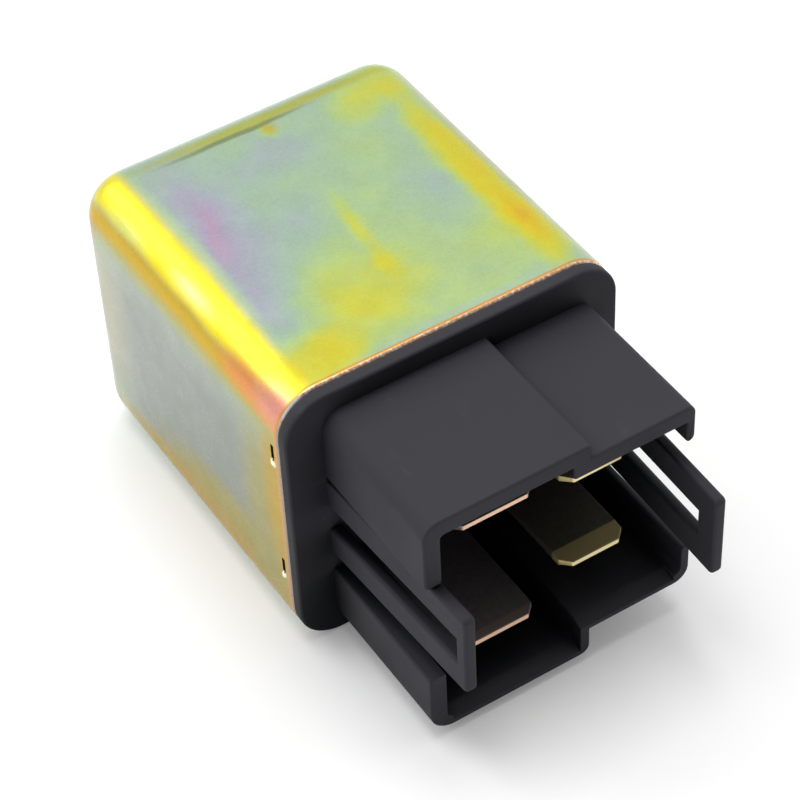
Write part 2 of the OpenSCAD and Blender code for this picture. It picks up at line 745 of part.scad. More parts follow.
// Flat plate between two reaches and two levels
module flat(r0, r1, w, low, high) {
    block([-r1, low, -w / 2], [-r0, high, w / 2]);
}

// Cylinder through the armature at a reach
module pin(reach, d, low, high) {
    bar_y(-reach, 0, d, low, high);
}

module armature() {
    color("#a7aaae") on_armature() difference() {
        union() {
            flat(yoke_t + 0.3, free_end, armature_w, 0, armature_t);
            flat(-over, yoke_t + 0.3 + over, neck_w, 0, armature_t);
            flat(-tail_len, 0, tail_w, 0, armature_t);
        }
        for (r = rivet_reach) pin(r, rivet_d + 2 * play, -over, armature_t + over);
        pin(-hook_reach, hook_hole, -over, armature_t + over);
    }
}

module contact_arm() {
    color("#c98c4e") on_armature() difference() {
        flat(strip_start, strip_end, strip_w, armature_t, strip_top);
        for (r = rivet_reach) pin(r, rivet_d + 2 * play, 0, strip_top + over);
        pin(contact_reach, shank_d + 2 * play, 0, strip_top + over);
    }
}

module armature_rivets() {
    color("#8e9196") on_armature() for (r = rivet_reach) {
        pin(r, rivet_d, play, strip_top + play);
        pin(r, 1.6 * rivet_d, strip_top, strip_top + head_t);
    }
}

module moving_contact() {
    color("silver") on_armature() {
        pin(contact_reach, contact_d, armature_t - contact_t, armature_t);
        pin(contact_reach, shank_d, armature_t - play, strip_top + head_t);
        pin(contact_reach, 1.5 * shank_d, strip_top, strip_top + head_t);
    }
}

module return_spring() {
    r = (spring_d - spring_wire) / 2;
    coil_y = [tab_y + tab_t + spring_end, pole_y - spring_end];
    hook_in = [tab_y - spring_wire, pole_y + armature_t + spring_wire];
    low = [hook_x, hook_in[0], mid_z];
    low_out = low + [1, 0, 0];
    low_up = [hook_x, coil_y[0] - 0.5, mid_z];
    high = [hook_x, hook_in[1], mid_z];
    high_out = high + [1, 0, 0];
    high_down = [hook_x, coil_y[1] + 0.5, mid_z];
    turn = [for (i = [0:12 * spring_turns]) let (a = 30 * i, f = i / 12 / spring_turns)
        [hook_x + r * cos(a), coil_y[0] + f * (coil_y[1] - coil_y[0]), mid_z + r * sin(a)]];
    color("#d5d8dc") swept(concat([low_out], bend(low, low_out, low_up, 0.3), [low_up], turn,
        [high_down], bend(high, high_down, high_out, 0.3), [high_out]), spring_wire, [0, 1, 0]);
}

// Side view of the braid in depth and height: foot, loop, drop and landing
module braid_outline() {
    drop_z = braid_z - 2 * braid_r;
    end_z = mid_z + 0.75 * shank_d + 0.25;
    half = braid_t / 2;
    translate([braid_low, braid_z - half]) square([loop_y - braid_low, braid_t]);
    intersection() {
        translate([loop_y, braid_z - braid_r]) difference() {
            circle(braid_r + half);
            circle(braid_r - half);
        }
        translate([loop_y, drop_z - half]) square([braid_r + half, 2 * braid_r + braid_t]);
    }
    translate([braid_end_y + land_r, drop_z - half]) square([loop_y - braid_end_y - land_r, braid_t]);
    intersection() {
        translate([braid_end_y + land_r, drop_z - land_r]) difference() {
            circle(land_r + half);
            circle(land_r - half);
        }
        translate([braid_end_y - half, drop_z - land_r]) square([land_r + half, land_r + half]);
    }
    translate([braid_end_y - half, end_z]) square([braid_t, drop_z - land_r - end_z]);
}

module flexible_braid() {
    color("#b5651d") translate([-contact_x, 0, 0]) rotate([90, 0, 90])
        linear_extrude(braid_w, center = true) braid_outline();
}

can();
base();
base_seal();
feed_terminal();
load_terminal();
coil_terminal_upper();
coil_terminal_lower();
yoke();
core();
bobbin();
coil_winding();
winding_tape();
coil_leads();
suppression_resistor();
fixed_contact();
armature();
contact_arm();
armature_rivets();
moving_contact();
return_spring();
flexible_braid();
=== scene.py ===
"""Looks of an automotive relay: a yellow zinc-plated steel can on a black connector moulding.

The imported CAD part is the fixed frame. X runs across the connector, Y along the plug axis with
the mouth towards -Y, and Z up from the can's lower side, on which the relay lies. Lengths in the
classes are in millimetres and are turned to metres when a mesh is made.
"""

from __future__ import annotations

import json
import logging
import math
from dataclasses import dataclass
from enum import Enum
from typing import Any

import bmesh
import bpy
from mathutils import Matrix, Vector

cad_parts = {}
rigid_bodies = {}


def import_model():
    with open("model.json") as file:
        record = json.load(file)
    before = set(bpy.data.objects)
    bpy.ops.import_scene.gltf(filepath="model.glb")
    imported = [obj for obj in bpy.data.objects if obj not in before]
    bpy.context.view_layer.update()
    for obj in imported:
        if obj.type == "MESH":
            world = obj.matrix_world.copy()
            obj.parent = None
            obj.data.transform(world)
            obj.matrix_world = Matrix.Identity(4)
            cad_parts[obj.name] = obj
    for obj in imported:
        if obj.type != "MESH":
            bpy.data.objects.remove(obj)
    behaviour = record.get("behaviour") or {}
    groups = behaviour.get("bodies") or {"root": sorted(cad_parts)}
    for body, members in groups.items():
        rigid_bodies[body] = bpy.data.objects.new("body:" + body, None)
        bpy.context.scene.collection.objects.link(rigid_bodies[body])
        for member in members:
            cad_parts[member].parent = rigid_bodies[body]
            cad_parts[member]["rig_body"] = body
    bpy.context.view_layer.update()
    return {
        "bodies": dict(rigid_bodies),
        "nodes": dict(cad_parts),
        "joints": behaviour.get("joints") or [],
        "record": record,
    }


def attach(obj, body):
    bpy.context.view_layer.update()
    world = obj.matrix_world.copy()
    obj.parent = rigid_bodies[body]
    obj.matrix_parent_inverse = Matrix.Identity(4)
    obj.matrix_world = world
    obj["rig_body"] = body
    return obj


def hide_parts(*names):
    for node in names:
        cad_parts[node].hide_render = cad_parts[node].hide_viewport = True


LOG = logging.getLogger("relay")
MM = 0.001
Point = tuple[float, float, float]
Span = tuple[float, float]
Tree = bpy.types.NodeTree
Node = bpy.types.Node
Socket = bpy.types.NodeSocket
Piece = bpy.types.Object


class Sky(Enum):
    """How strongly one side of the room shines."""

    BACK = 0.99
    FRONT = 0.2


# Colours and nodes


def linear(hex_colour: str) -> tuple[float, float, float, float]:
    """Turns an sRGB hex colour to linear light.

    Args:
        hex_colour: colour as six hex digits, with or without a leading #.

    Returns:
        Red, green, blue and alpha for a shader socket.
    """
    digits = hex_colour.lstrip("#")
    parts = [int(digits[i : i + 2], 16) / 255 for i in (0, 2, 4)]
    light = [c / 12.92 if c <= 0.04045 else ((c + 0.055) / 1.055) ** 2.4 for c in parts]
    return (light[0], light[1], light[2], 1.0)


def add_node(
    tree: Tree,
    kind: str,
    settings: dict[str, Any] | None = None,
    inputs: dict[Any, Any] | None = None,
) -> Node:
    """Adds one shader node with its settings, values and links.

    Args:
        tree: node tree that gets the node.
        kind: Blender's name of the node type.
        settings: attributes of the node itself.
        inputs: input name or number to a value, or to the output socket that feeds it.

    Returns:
        The new node.
    """
    node = tree.nodes.new(kind)
    for name, value in (settings or {}).items():
        setattr(node, name, value)
    for name, value in (inputs or {}).items():
        if isinstance(value, Socket):
            tree.links.new(value, node.inputs[name])
        else:
            node.inputs[name].default_value = value
    return node


@dataclass(frozen=True)
class Finish:
    """A real surface finish: the shader's own values and the pattern that feeds it."""

    name: str
    colour: str
    metallic: float
    roughness: float
    specular: float = 0.5

    def material(self) -> bpy.types.Material:
        """Makes the finish as a material, with its pattern linked in.

        Returns:
            The new material.
        """
        made = bpy.data.materials.new(self.name)
        made.use_nodes = True
        tree = made.node_tree
        shader = tree.nodes["Principled BSDF"]
        shader.inputs["Base Color"].default_value = linear(self.colour)
        shader.inputs["Metallic"].default_value = self.metallic
        shader.inputs["Roughness"].default_value = self.roughness
        shader.inputs["Specular IOR Level"].default_value = self.specular
        made.diffuse_color = linear(self.colour)
        self.pattern(tree, shader, self.millimetres(tree))
        return made

    def millimetres(self, tree: Tree) -> Socket:
        """Place on the part in millimetres.

        Args:
            tree: the material's node tree.

        Returns:
            The place, as a vector socket.
        """
        place = add_node(tree, "ShaderNodeTexCoord").outputs["Object"]
        scale = {0: place, "Scale": 1 / MM}
        return add_node(tree, "ShaderNodeVectorMath", {"operation": "SCALE"}, scale).outputs["Vector"]

    def pattern(self, tree: Tree, shader: Node, place: Socket) -> None:
        """Feeds the shader with this finish's pattern.

        Args:
            tree: the material's node tree.
            shader: its main shader node.
            place: position in millimetres.
        """

    def grain(
        self,
        tree: Tree,
        place: Socket,
        size: float,
        detail: float = 3.0,
        stretch: Point = (1.0, 1.0, 1.0),
    ) -> Socket:
        """Noise whose lumps are about one size across.

        Args:
            tree: the material's node tree.
            place: position in millimetres.
            size: width of a lump in millimetres.
            detail: how much finer grain lies in the lumps.
            stretch: how many times longer a lump is along each axis.

        Returns:
            Noise from 0 to 1.
        """
        squeezed = add_node(
            tree,
            "ShaderNodeVectorMath",
            {"operation": "MULTIPLY"},
            {0: place, 1: tuple(1 / s for s in stretch)},
        )
        noise = add_node(
            tree,
            "ShaderNodeTexNoise",
            None,
            {"Vector": squeezed.outputs[0], "Scale": 1 / size, "Detail": detail},
        )
        return noise.outputs["Fac"]

    def ramp(self, tree: Tree, value: Socket, low: float, high: float, to: Span) -> Socket:
        """Smooth step of a value from one span to another.

        Args:
            tree: the material's node tree.
            value: what is read.
            low: value that gives the first result.
            high: value that gives the second result.
            to: the two results.

        Returns:
            The stepped value.
        """
        step = add_node(
            tree,
            "ShaderNodeMapRange",
            {"interpolation_type": "SMOOTHSTEP"},
            {"Value": value, "From Min": low, "From Max": high, "To Min": to[0], "To Max": to[1]},
        )
        return step.outputs["Result"]

    def tinted(
        self,
        tree: Tree,
        base: Socket | str,
        tint: Socket | str,
        share: Socket,
        way: str = "MIX",
    ) -> Socket:
        """Lays one colour over another.

        Args:
            tree: the material's node tree.
            base: colour below, as hex or as a socket.
            tint: colour above, as hex or as a socket.
            share: how much of the upper colour shows.
            way: Blender's name for how the two are mixed.

        Returns:
            The mixed colour.
        """
        below = linear(base) if isinstance(base, str) else base
        above = linear(tint) if isinstance(tint, str) else tint
        mix = add_node(
            tree,
            "ShaderNodeMix",
            {"data_type": "RGBA", "blend_type": way},
            {"Factor": share, 6: below, 7: above},
        )
        return mix.outputs[2]

    def relief(self, tree: Tree, shader: Node, height: Socket, depth: float) -> None:
        """Gives the surface fine relief.

        Args:
            tree: the material's node tree.
            shader: its main shader node.
            height: relief from 0 to 1.
            depth: height of the relief in millimetres.
        """
        bump = add_node(
            tree, "ShaderNodeBump", None, {"Height": height, "Distance": depth * MM, "Strength": 1.0}
        )
        tree.links.new(bump.outputs["Normal"], shader.inputs["Normal"])


@dataclass(frozen=True)
class Cloud:
    """One soft patch on the can: its centre and radii in millimetres, and where its full part begins."""

    centre: Point
    radii: Point
    turn: float = 0.0
    core: float = 0.0


@dataclass(frozen=True)
class Swell(Cloud):
    """A patch where the passivation film is thicker, or thinner below zero."""

    rise: float = 0.1


@dataclass(frozen=True)
class Bloom(Cloud):
    """A patch with a colour of its own; some patches are painted highlights and painted shade."""

    colour: str = "#ffffff"
    share: float = 1.0


@dataclass(frozen=True)
class YellowPassivatedZinc(Finish):
    """Electroplated zinc with a yellow passivation on drawn steel.

    The film is a few hundred nanometres thick and uneven. Its thickness alone sets the
    interference colour, so the eye sees clouds that pass from pink over grey-blue and green to
    yellow and orange, always in that order, over a soft metal gloss.
    """

    swells: tuple[Swell, ...] = ()
    blooms: tuple[Bloom, ...] = ()
    film: float = 0.46
    uneven: float = 0.025
    scale: tuple[tuple[float, str], ...] = ()
    sway_mm: float = 1.3
    calm_mm: float = 0.25
    speck: str = "#6f6f5a"
    speck_mm: float = 0.28
    gloss_mm: float = 2.2
    line_mm: float = 0.2
    line_deep_mm: float = 0.0009
    wave_mm: float = 9.0
    rim_y: float = -16.75
    browned: str = "#d3954a"
    browned_mm: Span = (0.35, 0.55)
    torn: str = "#dca882"
    # Near-white painted highlights scattered along the lip
    painted_glint: str = "#fff4e6"
    painted_glint_mm: float = 0.32
    smooth_lip: str = "#b9aa98"
    lip_mm: Span = (0.16, 0.26)
    lip_metal: float = 0.4
    side_x: Span = (15.3, 15.8)
    # Painted highlight: the lip's front left corner is painted white
    wear_and_painted_highlight: Cloud = Cloud((-14.3, -16.8, 26.7), (1.5, 1.0, 1.5), core=0.45)

    def reach(self, tree: Tree, place: Socket, cloud: Cloud, full: float) -> Socket:
        """How strongly one cloud acts at a place.

        Args:
            tree: the material's node tree.
            place: position in millimetres.
            cloud: the cloud.
            full: result in the cloud's core.

        Returns:
            Zero outside the cloud, rising to the full result in its core.
        """
        shifted = add_node(
            tree, "ShaderNodeVectorMath", {"operation": "SUBTRACT"}, {0: place, 1: cloud.centre}
        ).outputs[0]
        if cloud.turn:
            shifted = add_node(
                tree,
                "ShaderNodeVectorRotate",
                {"rotation_type": "Z_AXIS"},
                {"Vector": shifted, "Angle": math.radians(cloud.turn)},
            ).outputs[0]
        scaled = add_node(
            tree,
            "ShaderNodeVectorMath",
            {"operation": "MULTIPLY"},
            {0: shifted, 1: tuple(1 / r for r in cloud.radii)},
        )
        far = add_node(tree, "ShaderNodeVectorMath", {"operation": "LENGTH"}, {0: scaled.outputs[0]})
        return self.ramp(tree, far.outputs["Value"], 1.0, cloud.core, (0.0, full))

    def swayed(self, tree: Tree, place: Socket, size: float, detail: float, sway: float) -> Socket:
        """Moves a place about, so that what is drawn there gets an uneven outline.

        Args:
            tree: the material's node tree.
            place: position in millimetres.
            size: width of one wave of the outline in millimetres.
            detail: how much finer the outline wavers.
            sway: how far the place moves in millimetres.

        Returns:
            The moved position.
        """
        wave = {"Vector": place, "Scale": 1 / size, "Detail": detail}
        noise = add_node(tree, "ShaderNodeTexNoise", None, wave)
        moved = add_node(
            tree,
            "ShaderNodeVectorMath",
            {"operation": "MULTIPLY_ADD"},
            {0: noise.outputs["Color"], 1: (2 * sway,) * 3, 2: (-sway,) * 3},
        )
        both = {0: place, 1: moved.outputs[0]}
        return add_node(tree, "ShaderNodeVectorMath", {"operation": "ADD"}, both).outputs[0]

    def thickness(self, tree: Tree, place: Socket) -> Socket:
        """Thickness of the film, from 0 for pink to 1 for orange and past it for salmon.

        Args:
            tree: the material's node tree.
            place: position in millimetres.

        Returns:
            The thickness.
        """
        around = self.swayed(tree, self.swayed(tree, place, 7.0, 1.0, self.sway_mm), 1.1, 2.0, 0.3)
        low, high = self.film - self.uneven, self.film + self.uneven
        total = self.ramp(tree, self.grain(tree, place, 4.0, 2.0), 0.3, 0.7, (low, high))
        for swell in self.swells:
            total = add_node(
                tree,
                "ShaderNodeMath",
                {"operation": "ADD"},
                {0: total, 1: self.reach(tree, around, swell, swell.rise)},
            ).outputs[0]
        return total

    def interference(self, tree: Tree, value: Socket) -> Socket:
        """Colour of the film at a thickness.

        Args:
            tree: the material's node tree.
            value: the thickness.

        Returns:
            The colour.
        """
        last = self.scale[-1][0]
        share = add_node(tree, "ShaderNodeMath", {"operation": "DIVIDE"}, {0: value, 1: last})
        order = add_node(tree, "ShaderNodeValToRGB", None, {0: share.outputs[0]})
        stops = order.color_ramp.elements
        while len(stops) < len(self.scale):
            stops.new(0.5)
        for stop, (thick, hue) in zip(stops, self.scale):
            stop.position = thick / last
            stop.color = linear(hue)
        return order.outputs["Color"]

    def pattern(self, tree: Tree, shader: Node, place: Socket) -> None:
        """Film colours with painted highlights and painted shade, fine mottling, draw lines and a bare edge
        at the rim with painted glints.

        Args:
            tree: the material's node tree.
            shader: its main shader node.
            place: position in millimetres.
        """
        colour = self.interference(tree, self.thickness(tree, place))
        calm = self.swayed(tree, place, 5.0, 1.0, self.calm_mm)
        for bloom in self.blooms:
            colour = self.tinted(tree, colour, bloom.colour, self.reach(tree, calm, bloom, bloom.share))
        # Mottling of the film: specks about a quarter of a millimetre wide
        specks = self.ramp(tree, self.grain(tree, place, self.speck_mm, 3.0), 0.35, 0.65, (0.0, 0.14))
        colour = self.tinted(tree, colour, self.speck, specks, "SOFT_LIGHT")
        colour = self.tinted(tree, colour, self.browned, self.rim(tree, place, self.browned_mm, (0.0, 0.95)))
        colour = self.tinted(tree, colour, self.torn_lip(tree, place), self.rim(tree, place, self.lip_mm))
        tree.links.new(colour, shader.inputs["Base Color"])
        # The torn edge is rough far below a millimetre, so it scatters light like a matt surface
        matt = self.rim(tree, place, self.lip_mm, (self.metallic, self.lip_metal))
        tree.links.new(matt, shader.inputs["Metallic"])
        satin = (self.roughness - 0.02, self.roughness + 0.05)
        gloss = self.ramp(tree, self.grain(tree, place, self.gloss_mm, 3.0), 0.3, 0.7, satin)
        tree.links.new(gloss, shader.inputs["Roughness"])
        # Draw lines run along the can's depth; the slow wave under them is the sheet's own
        lines = self.grain(tree, place, self.line_mm, 2.0, (1.0, 60.0, 1.0))
        wave = self.grain(tree, place, self.wave_mm, 1.0)
        height = add_node(
            tree, "ShaderNodeMath", {"operation": "MULTIPLY_ADD"}, {0: wave, 1: 20.0, 2: lines}
        )
        self.relief(tree, shader, height.outputs[0], self.line_deep_mm)

    def rim(self, tree: Tree, place: Socket, band: Span, to: Span = (0.0, 1.0)) -> Socket:
        """Steps from one value to another in a band beside the rim.

        Args:
            tree: the material's node tree.
            place: position in millimetres.
            band: distances from the rim at which the step is complete and begins.
            to: value away from the rim, and value at the rim.

        Returns:
            The stepped value.
        """
        along = add_node(tree, "ShaderNodeSeparateXYZ", None, {0: place}).outputs["Y"]
        full, none = band
        return self.ramp(tree, along, self.rim_y + none, self.rim_y + full, to)

    def torn_lip(self, tree: Tree, place: Socket) -> Socket:
        """Colour of the sheared lip: painted glints of near white along it, grey sides, and one corner
        painted white as a highlight.

        Args:
            tree: the material's node tree.
            place: position in millimetres.

        Returns:
            The colour.
        """
        # Painted highlights: near-white glints scattered along the lip
        painted_glints = self.ramp(tree, self.grain(tree, place, self.painted_glint_mm, 3.0), 0.42, 0.66, (0.0, 1.0))
        colour = self.tinted(tree, self.torn, self.painted_glint, painted_glints)
        across = add_node(tree, "ShaderNodeSeparateXYZ", None, {0: place}).outputs["X"]
        out = add_node(tree, "ShaderNodeMath", {"operation": "ABSOLUTE"}, {0: across}).outputs[0]
        colour = self.tinted(tree, colour, self.smooth_lip, self.ramp(tree, out, *self.side_x, (0.0, 1.0)))
        # Painted highlight: white on the lip's front left corner
        return self.tinted(tree, colour, "#ffffff", self.reach(tree, place, self.wear_and_painted_highlight, 1.0))


@dataclass(frozen=True)
class MouldedNylon(Finish):
    """Glass-filled nylon from a spark-eroded mould: satin, with a grain of about a tenth of a millimetre."""

    grain_mm: float = 0.14
    scuff: str = "#6a6d70"
    scuff_mm: float = 1.4
    slow_mm: float = 6.0
    # Colour of the painted shade in deep corners and hollows
    painted_corner_shade: str = "#05080d"
    painted_corner_shade_mm: float = 0.0

    def pattern(self, tree: Tree, shader: Node, place: Socket) -> None:
        """Fine mould grain, slow gloss changes, faint rubbed spots and painted shade in deep corners.

        Args:
            tree: the material's node tree.
            shader: its main shader node.
            place: position in millimetres.
        """
        satin = (self.roughness - 0.05, self.roughness + 0.06)
        slow = self.ramp(tree, self.grain(tree, place, self.slow_mm, 3.0), 0.3, 0.75, satin)
        tree.links.new(slow, shader.inputs["Roughness"])
        scuffs = self.grain(tree, place, self.scuff_mm, 6.0, (1.0, 3.0, 1.0))
        wear_and_painted_highlight = self.ramp(tree, scuffs, 0.62, 0.8, (0.0, 0.1))
        colour = self.tinted(tree, self.colour, self.scuff, wear_and_painted_highlight)
        if self.painted_corner_shade_mm:
            # Painted shade: deep corners and hollows, found by ambient occlusion, are painted near black
            occlusion_for_painted_shade = add_node(
                tree, "ShaderNodeAmbientOcclusion", {"samples": 8}, {"Distance": self.painted_corner_shade_mm * MM}
            )
            painted_shade_share = self.ramp(tree, occlusion_for_painted_shade.outputs["AO"], 0.74, 0.28, (0.0, 0.95))
            colour = self.tinted(tree, colour, self.painted_corner_shade, painted_shade_share)
        tree.links.new(colour, shader.inputs["Base Color"])
        self.relief(tree, shader, self.grain(tree, place, self.grain_mm, 2.0), 0.006)


@dataclass(frozen=True)
class RolledBlade(Finish):
    """Rolled and blanked strip for a blade: rolling lines along it, a bright coined tip, a tarnished body."""

    tip_colour: str = "#f0d9b0"
    tip_y: float = -30.9
    coin_mm: float = 1.8
    tarnish: str = "#3a3127"
    coined: str = "#a08f62"
    sheltered: str = "#b87a55"
    housing_y: float = -18.0
    spot_mm: float = 0.5
    tarnish_mm: float = 7.0
    line_mm: float = 0.1

    def pattern(self, tree: Tree, shader: Node, place: Socket) -> None:
        """Tarnish that deepens towards the housing, a rubbed coined end and a bright sheared tip.

        Args:
            tree: the material's node tree.
            shader: its main shader node.
            place: position in millimetres.
        """
        along = add_node(tree, "ShaderNodeSeparateXYZ", None, {0: place}).outputs["Y"]
        spots = self.ramp(tree, self.grain(tree, place, self.spot_mm, 6.0), 0.3, 0.8, (0.0, 0.35))
        colour = self.tinted(tree, self.colour, self.tarnish, spots)
        coin_end = self.tip_y + self.coin_mm
        # Each tint with the places, along the blade, where it starts and is complete
        for tint, start, full, share in (
            (self.tarnish, coin_end, coin_end + self.tarnish_mm, 0.5),
            (self.coined, coin_end + 0.1, coin_end - 0.1, 0.7),
            # Inside the housing no air or finger reaches the strip, so it keeps its own colour
            (self.sheltered, self.housing_y, self.housing_y + 1.2, 0.85),
            (self.tip_colour, self.tip_y + 0.16, self.tip_y + 0.04, 1.0),
        ):
            colour = self.tinted(tree, colour, tint, self.ramp(tree, along, start, full, (0.0, share)))
        tree.links.new(colour, shader.inputs["Base Color"])
        lines = self.grain(tree, place, self.line_mm, 2.0, (1.0, 40.0, 1.0))
        self.relief(tree, shader, lines, 0.003)


@dataclass(frozen=True)
class PlatedPressing(Finish):
    """Pressed iron or spring strip with a thin dull plating: faint rolling lines and slow stains."""

    stain: str = "#6d6a60"
    stain_mm: float = 2.5
    line_mm: float = 0.12
    along: Point = (1.0, 30.0, 1.0)

    def pattern(self, tree: Tree, shader: Node, place: Socket) -> None:
        """Slow stains and lines along the strip.

        Args:
            tree: the material's node tree.
            shader: its main shader node.
            place: position in millimetres.
        """
        share = self.ramp(tree, self.grain(tree, place, self.stain_mm, 5.0), 0.4, 0.8, (0.0, 0.4))
        tree.links.new(self.tinted(tree, self.colour, self.stain, share), shader.inputs["Base Color"])
        self.relief(tree, shader, self.grain(tree, place, self.line_mm, 2.0, self.along), 0.002)


@dataclass(frozen=True)
class WoundFilm(Finish):
    """Self-adhesive film wound tight on the coil: glassy, with slow patches where glue lies under it."""

    glue: str = "#b07818"
    patch_mm: float = 2.5
    wrinkle_mm: float = 0.12

    def pattern(self, tree: Tree, shader: Node, place: Socket) -> None:
        """Slow patches of glue and faint wrinkles.

        Args:
            tree: the material's node tree.
            shader: its main shader node.
            place: position in millimetres.
        """
        share = self.ramp(tree, self.grain(tree, place, self.patch_mm, 5.0), 0.4, 0.8, (0.0, 0.4))
        tree.links.new(self.tinted(tree, self.colour, self.glue, share), shader.inputs["Base Color"])
        self.relief(tree, shader, self.grain(tree, place, self.wrinkle_mm, 2.0), 0.002)


@dataclass(frozen=True)
class EnamelledWire(Finish):
    """Copper wire under polyurethane enamel: deep orange-brown with a wet gloss."""

    thick: str = "#6e2c10"
    wire_mm: float = 0.25

    def pattern(self, tree: Tree, shader: Node, place: Socket) -> None:
        """Lighter and darker turns, where the enamel is thinner and thicker.

        Args:
            tree: the material's node tree.
            shader: its main shader node.
            place: position in millimetres.
        """
        turns = self.grain(tree, place, self.wire_mm, 2.0, (8.0, 1.0, 8.0))
        share = self.ramp(tree, turns, 0.3, 0.7, (0.0, 0.6))
        tree.links.new(self.tinted(tree, self.colour, self.thick, share), shader.inputs["Base Color"])


@dataclass(frozen=True)
class WovenCopper(Finish):
    """Flat braid of fine bare copper wires: a plait with a repeat of 0.6 mm."""

    repeat_mm: float = 0.6
    gap: str = "#3d1d0e"

    def pattern(self, tree: Tree, shader: Node, place: Socket) -> None:
        """Two crossing sets of waves make the plait's relief.

        Args:
            tree: the material's node tree.
            shader: its main shader node.
            place: position in millimetres.
        """
        waves = []
        for sign in (1.0, -1.0):
            flip = {0: place, 1: (sign, 1.0, 1.0)}
            turned = add_node(tree, "ShaderNodeVectorMath", {"operation": "MULTIPLY"}, flip).outputs[0]
            strands = {"Vector": turned, "Scale": 1 / self.repeat_mm / 3}
            wave = add_node(tree, "ShaderNodeTexWave", {"bands_direction": "DIAGONAL"}, strands)
            waves.append(wave.outputs["Fac"])
        upper = {0: waves[0], 1: waves[1]}
        both = add_node(tree, "ShaderNodeMath", {"operation": "MAXIMUM"}, upper).outputs[0]
        shade = self.ramp(tree, both, 0.4, 1.0, (0.7, 0.0))
        tree.links.new(self.tinted(tree, self.colour, self.gap, shade), shader.inputs["Base Color"])
        self.relief(tree, shader, both, 0.06)


@dataclass(frozen=True)
class MouldedRubber(Finish):
    """Moulded sealing rubber: matt, with a dusty bloom."""

    dust: str = "#a08878"
    dust_mm: float = 1.8

    def pattern(self, tree: Tree, shader: Node, place: Socket) -> None:
        """Pale bloom in soft patches.

        Args:
            tree: the material's node tree.
            shader: its main shader node.
            place: position in millimetres.
        """
        share = self.ramp(tree, self.grain(tree, place, self.dust_mm, 5.0), 0.45, 0.8, (0.0, 0.35))
        tree.links.new(self.tinted(tree, self.colour, self.dust, share), shader.inputs["Base Color"])
        self.relief(tree, shader, self.grain(tree, place, 0.2, 2.0), 0.004)


@dataclass(frozen=True)
class BandedCeramic(Finish):
    """Lacquered ceramic resistor body with plain colour bands, and tinned leads beyond it."""

    middle_z: float = 13.95
    half_mm: float = 3.1
    band_mm: Span = (0.26, 0.32)
    bands: tuple[tuple[float, str], ...] = ((-1.6, "#a5682a"), (-0.5, "#1d1d1d"), (0.6, "#a02a20"))
    lead: str = "#b9bbbd"

    def away(self, tree: Tree, height: Socket, level: float) -> Socket:
        """How far a height is from a level, either way.

        Args:
            tree: the material's node tree.
            height: height in millimetres.
            level: the level in millimetres.

        Returns:
            The distance in millimetres.
        """
        gap = add_node(tree, "ShaderNodeMath", {"operation": "SUBTRACT"}, {0: height, 1: level})
        return add_node(tree, "ShaderNodeMath", {"operation": "ABSOLUTE"}, {0: gap.outputs[0]}).outputs[0]

    def pattern(self, tree: Tree, shader: Node, place: Socket) -> None:
        """Three bands on the body; the leads are pale tin.

        Args:
            tree: the material's node tree.
            shader: its main shader node.
            place: position in millimetres.
        """
        height = add_node(tree, "ShaderNodeSeparateXYZ", None, {0: place}).outputs["Z"]
        colour: Socket | str = self.colour
        full, none = self.band_mm
        for offset, hue in self.bands:
            share = self.ramp(tree, self.away(tree, height, self.middle_z + offset), none, full, (0.0, 1.0))
            colour = self.tinted(tree, colour, hue, share)
        out = self.away(tree, height, self.middle_z)
        leads = self.ramp(tree, out, self.half_mm + 0.02, self.half_mm + 0.06, (0.0, 1.0))
        colour = self.tinted(tree, colour, self.lead, leads)
        tree.links.new(colour, shader.inputs["Base Color"])


# Finishes of this relay

TOP, LEFT, BACK = 27.9, -16.0, 16.75
# Heights of the four punch marks, a little below the crimps
PUNCHED = (7.2, 20.8)
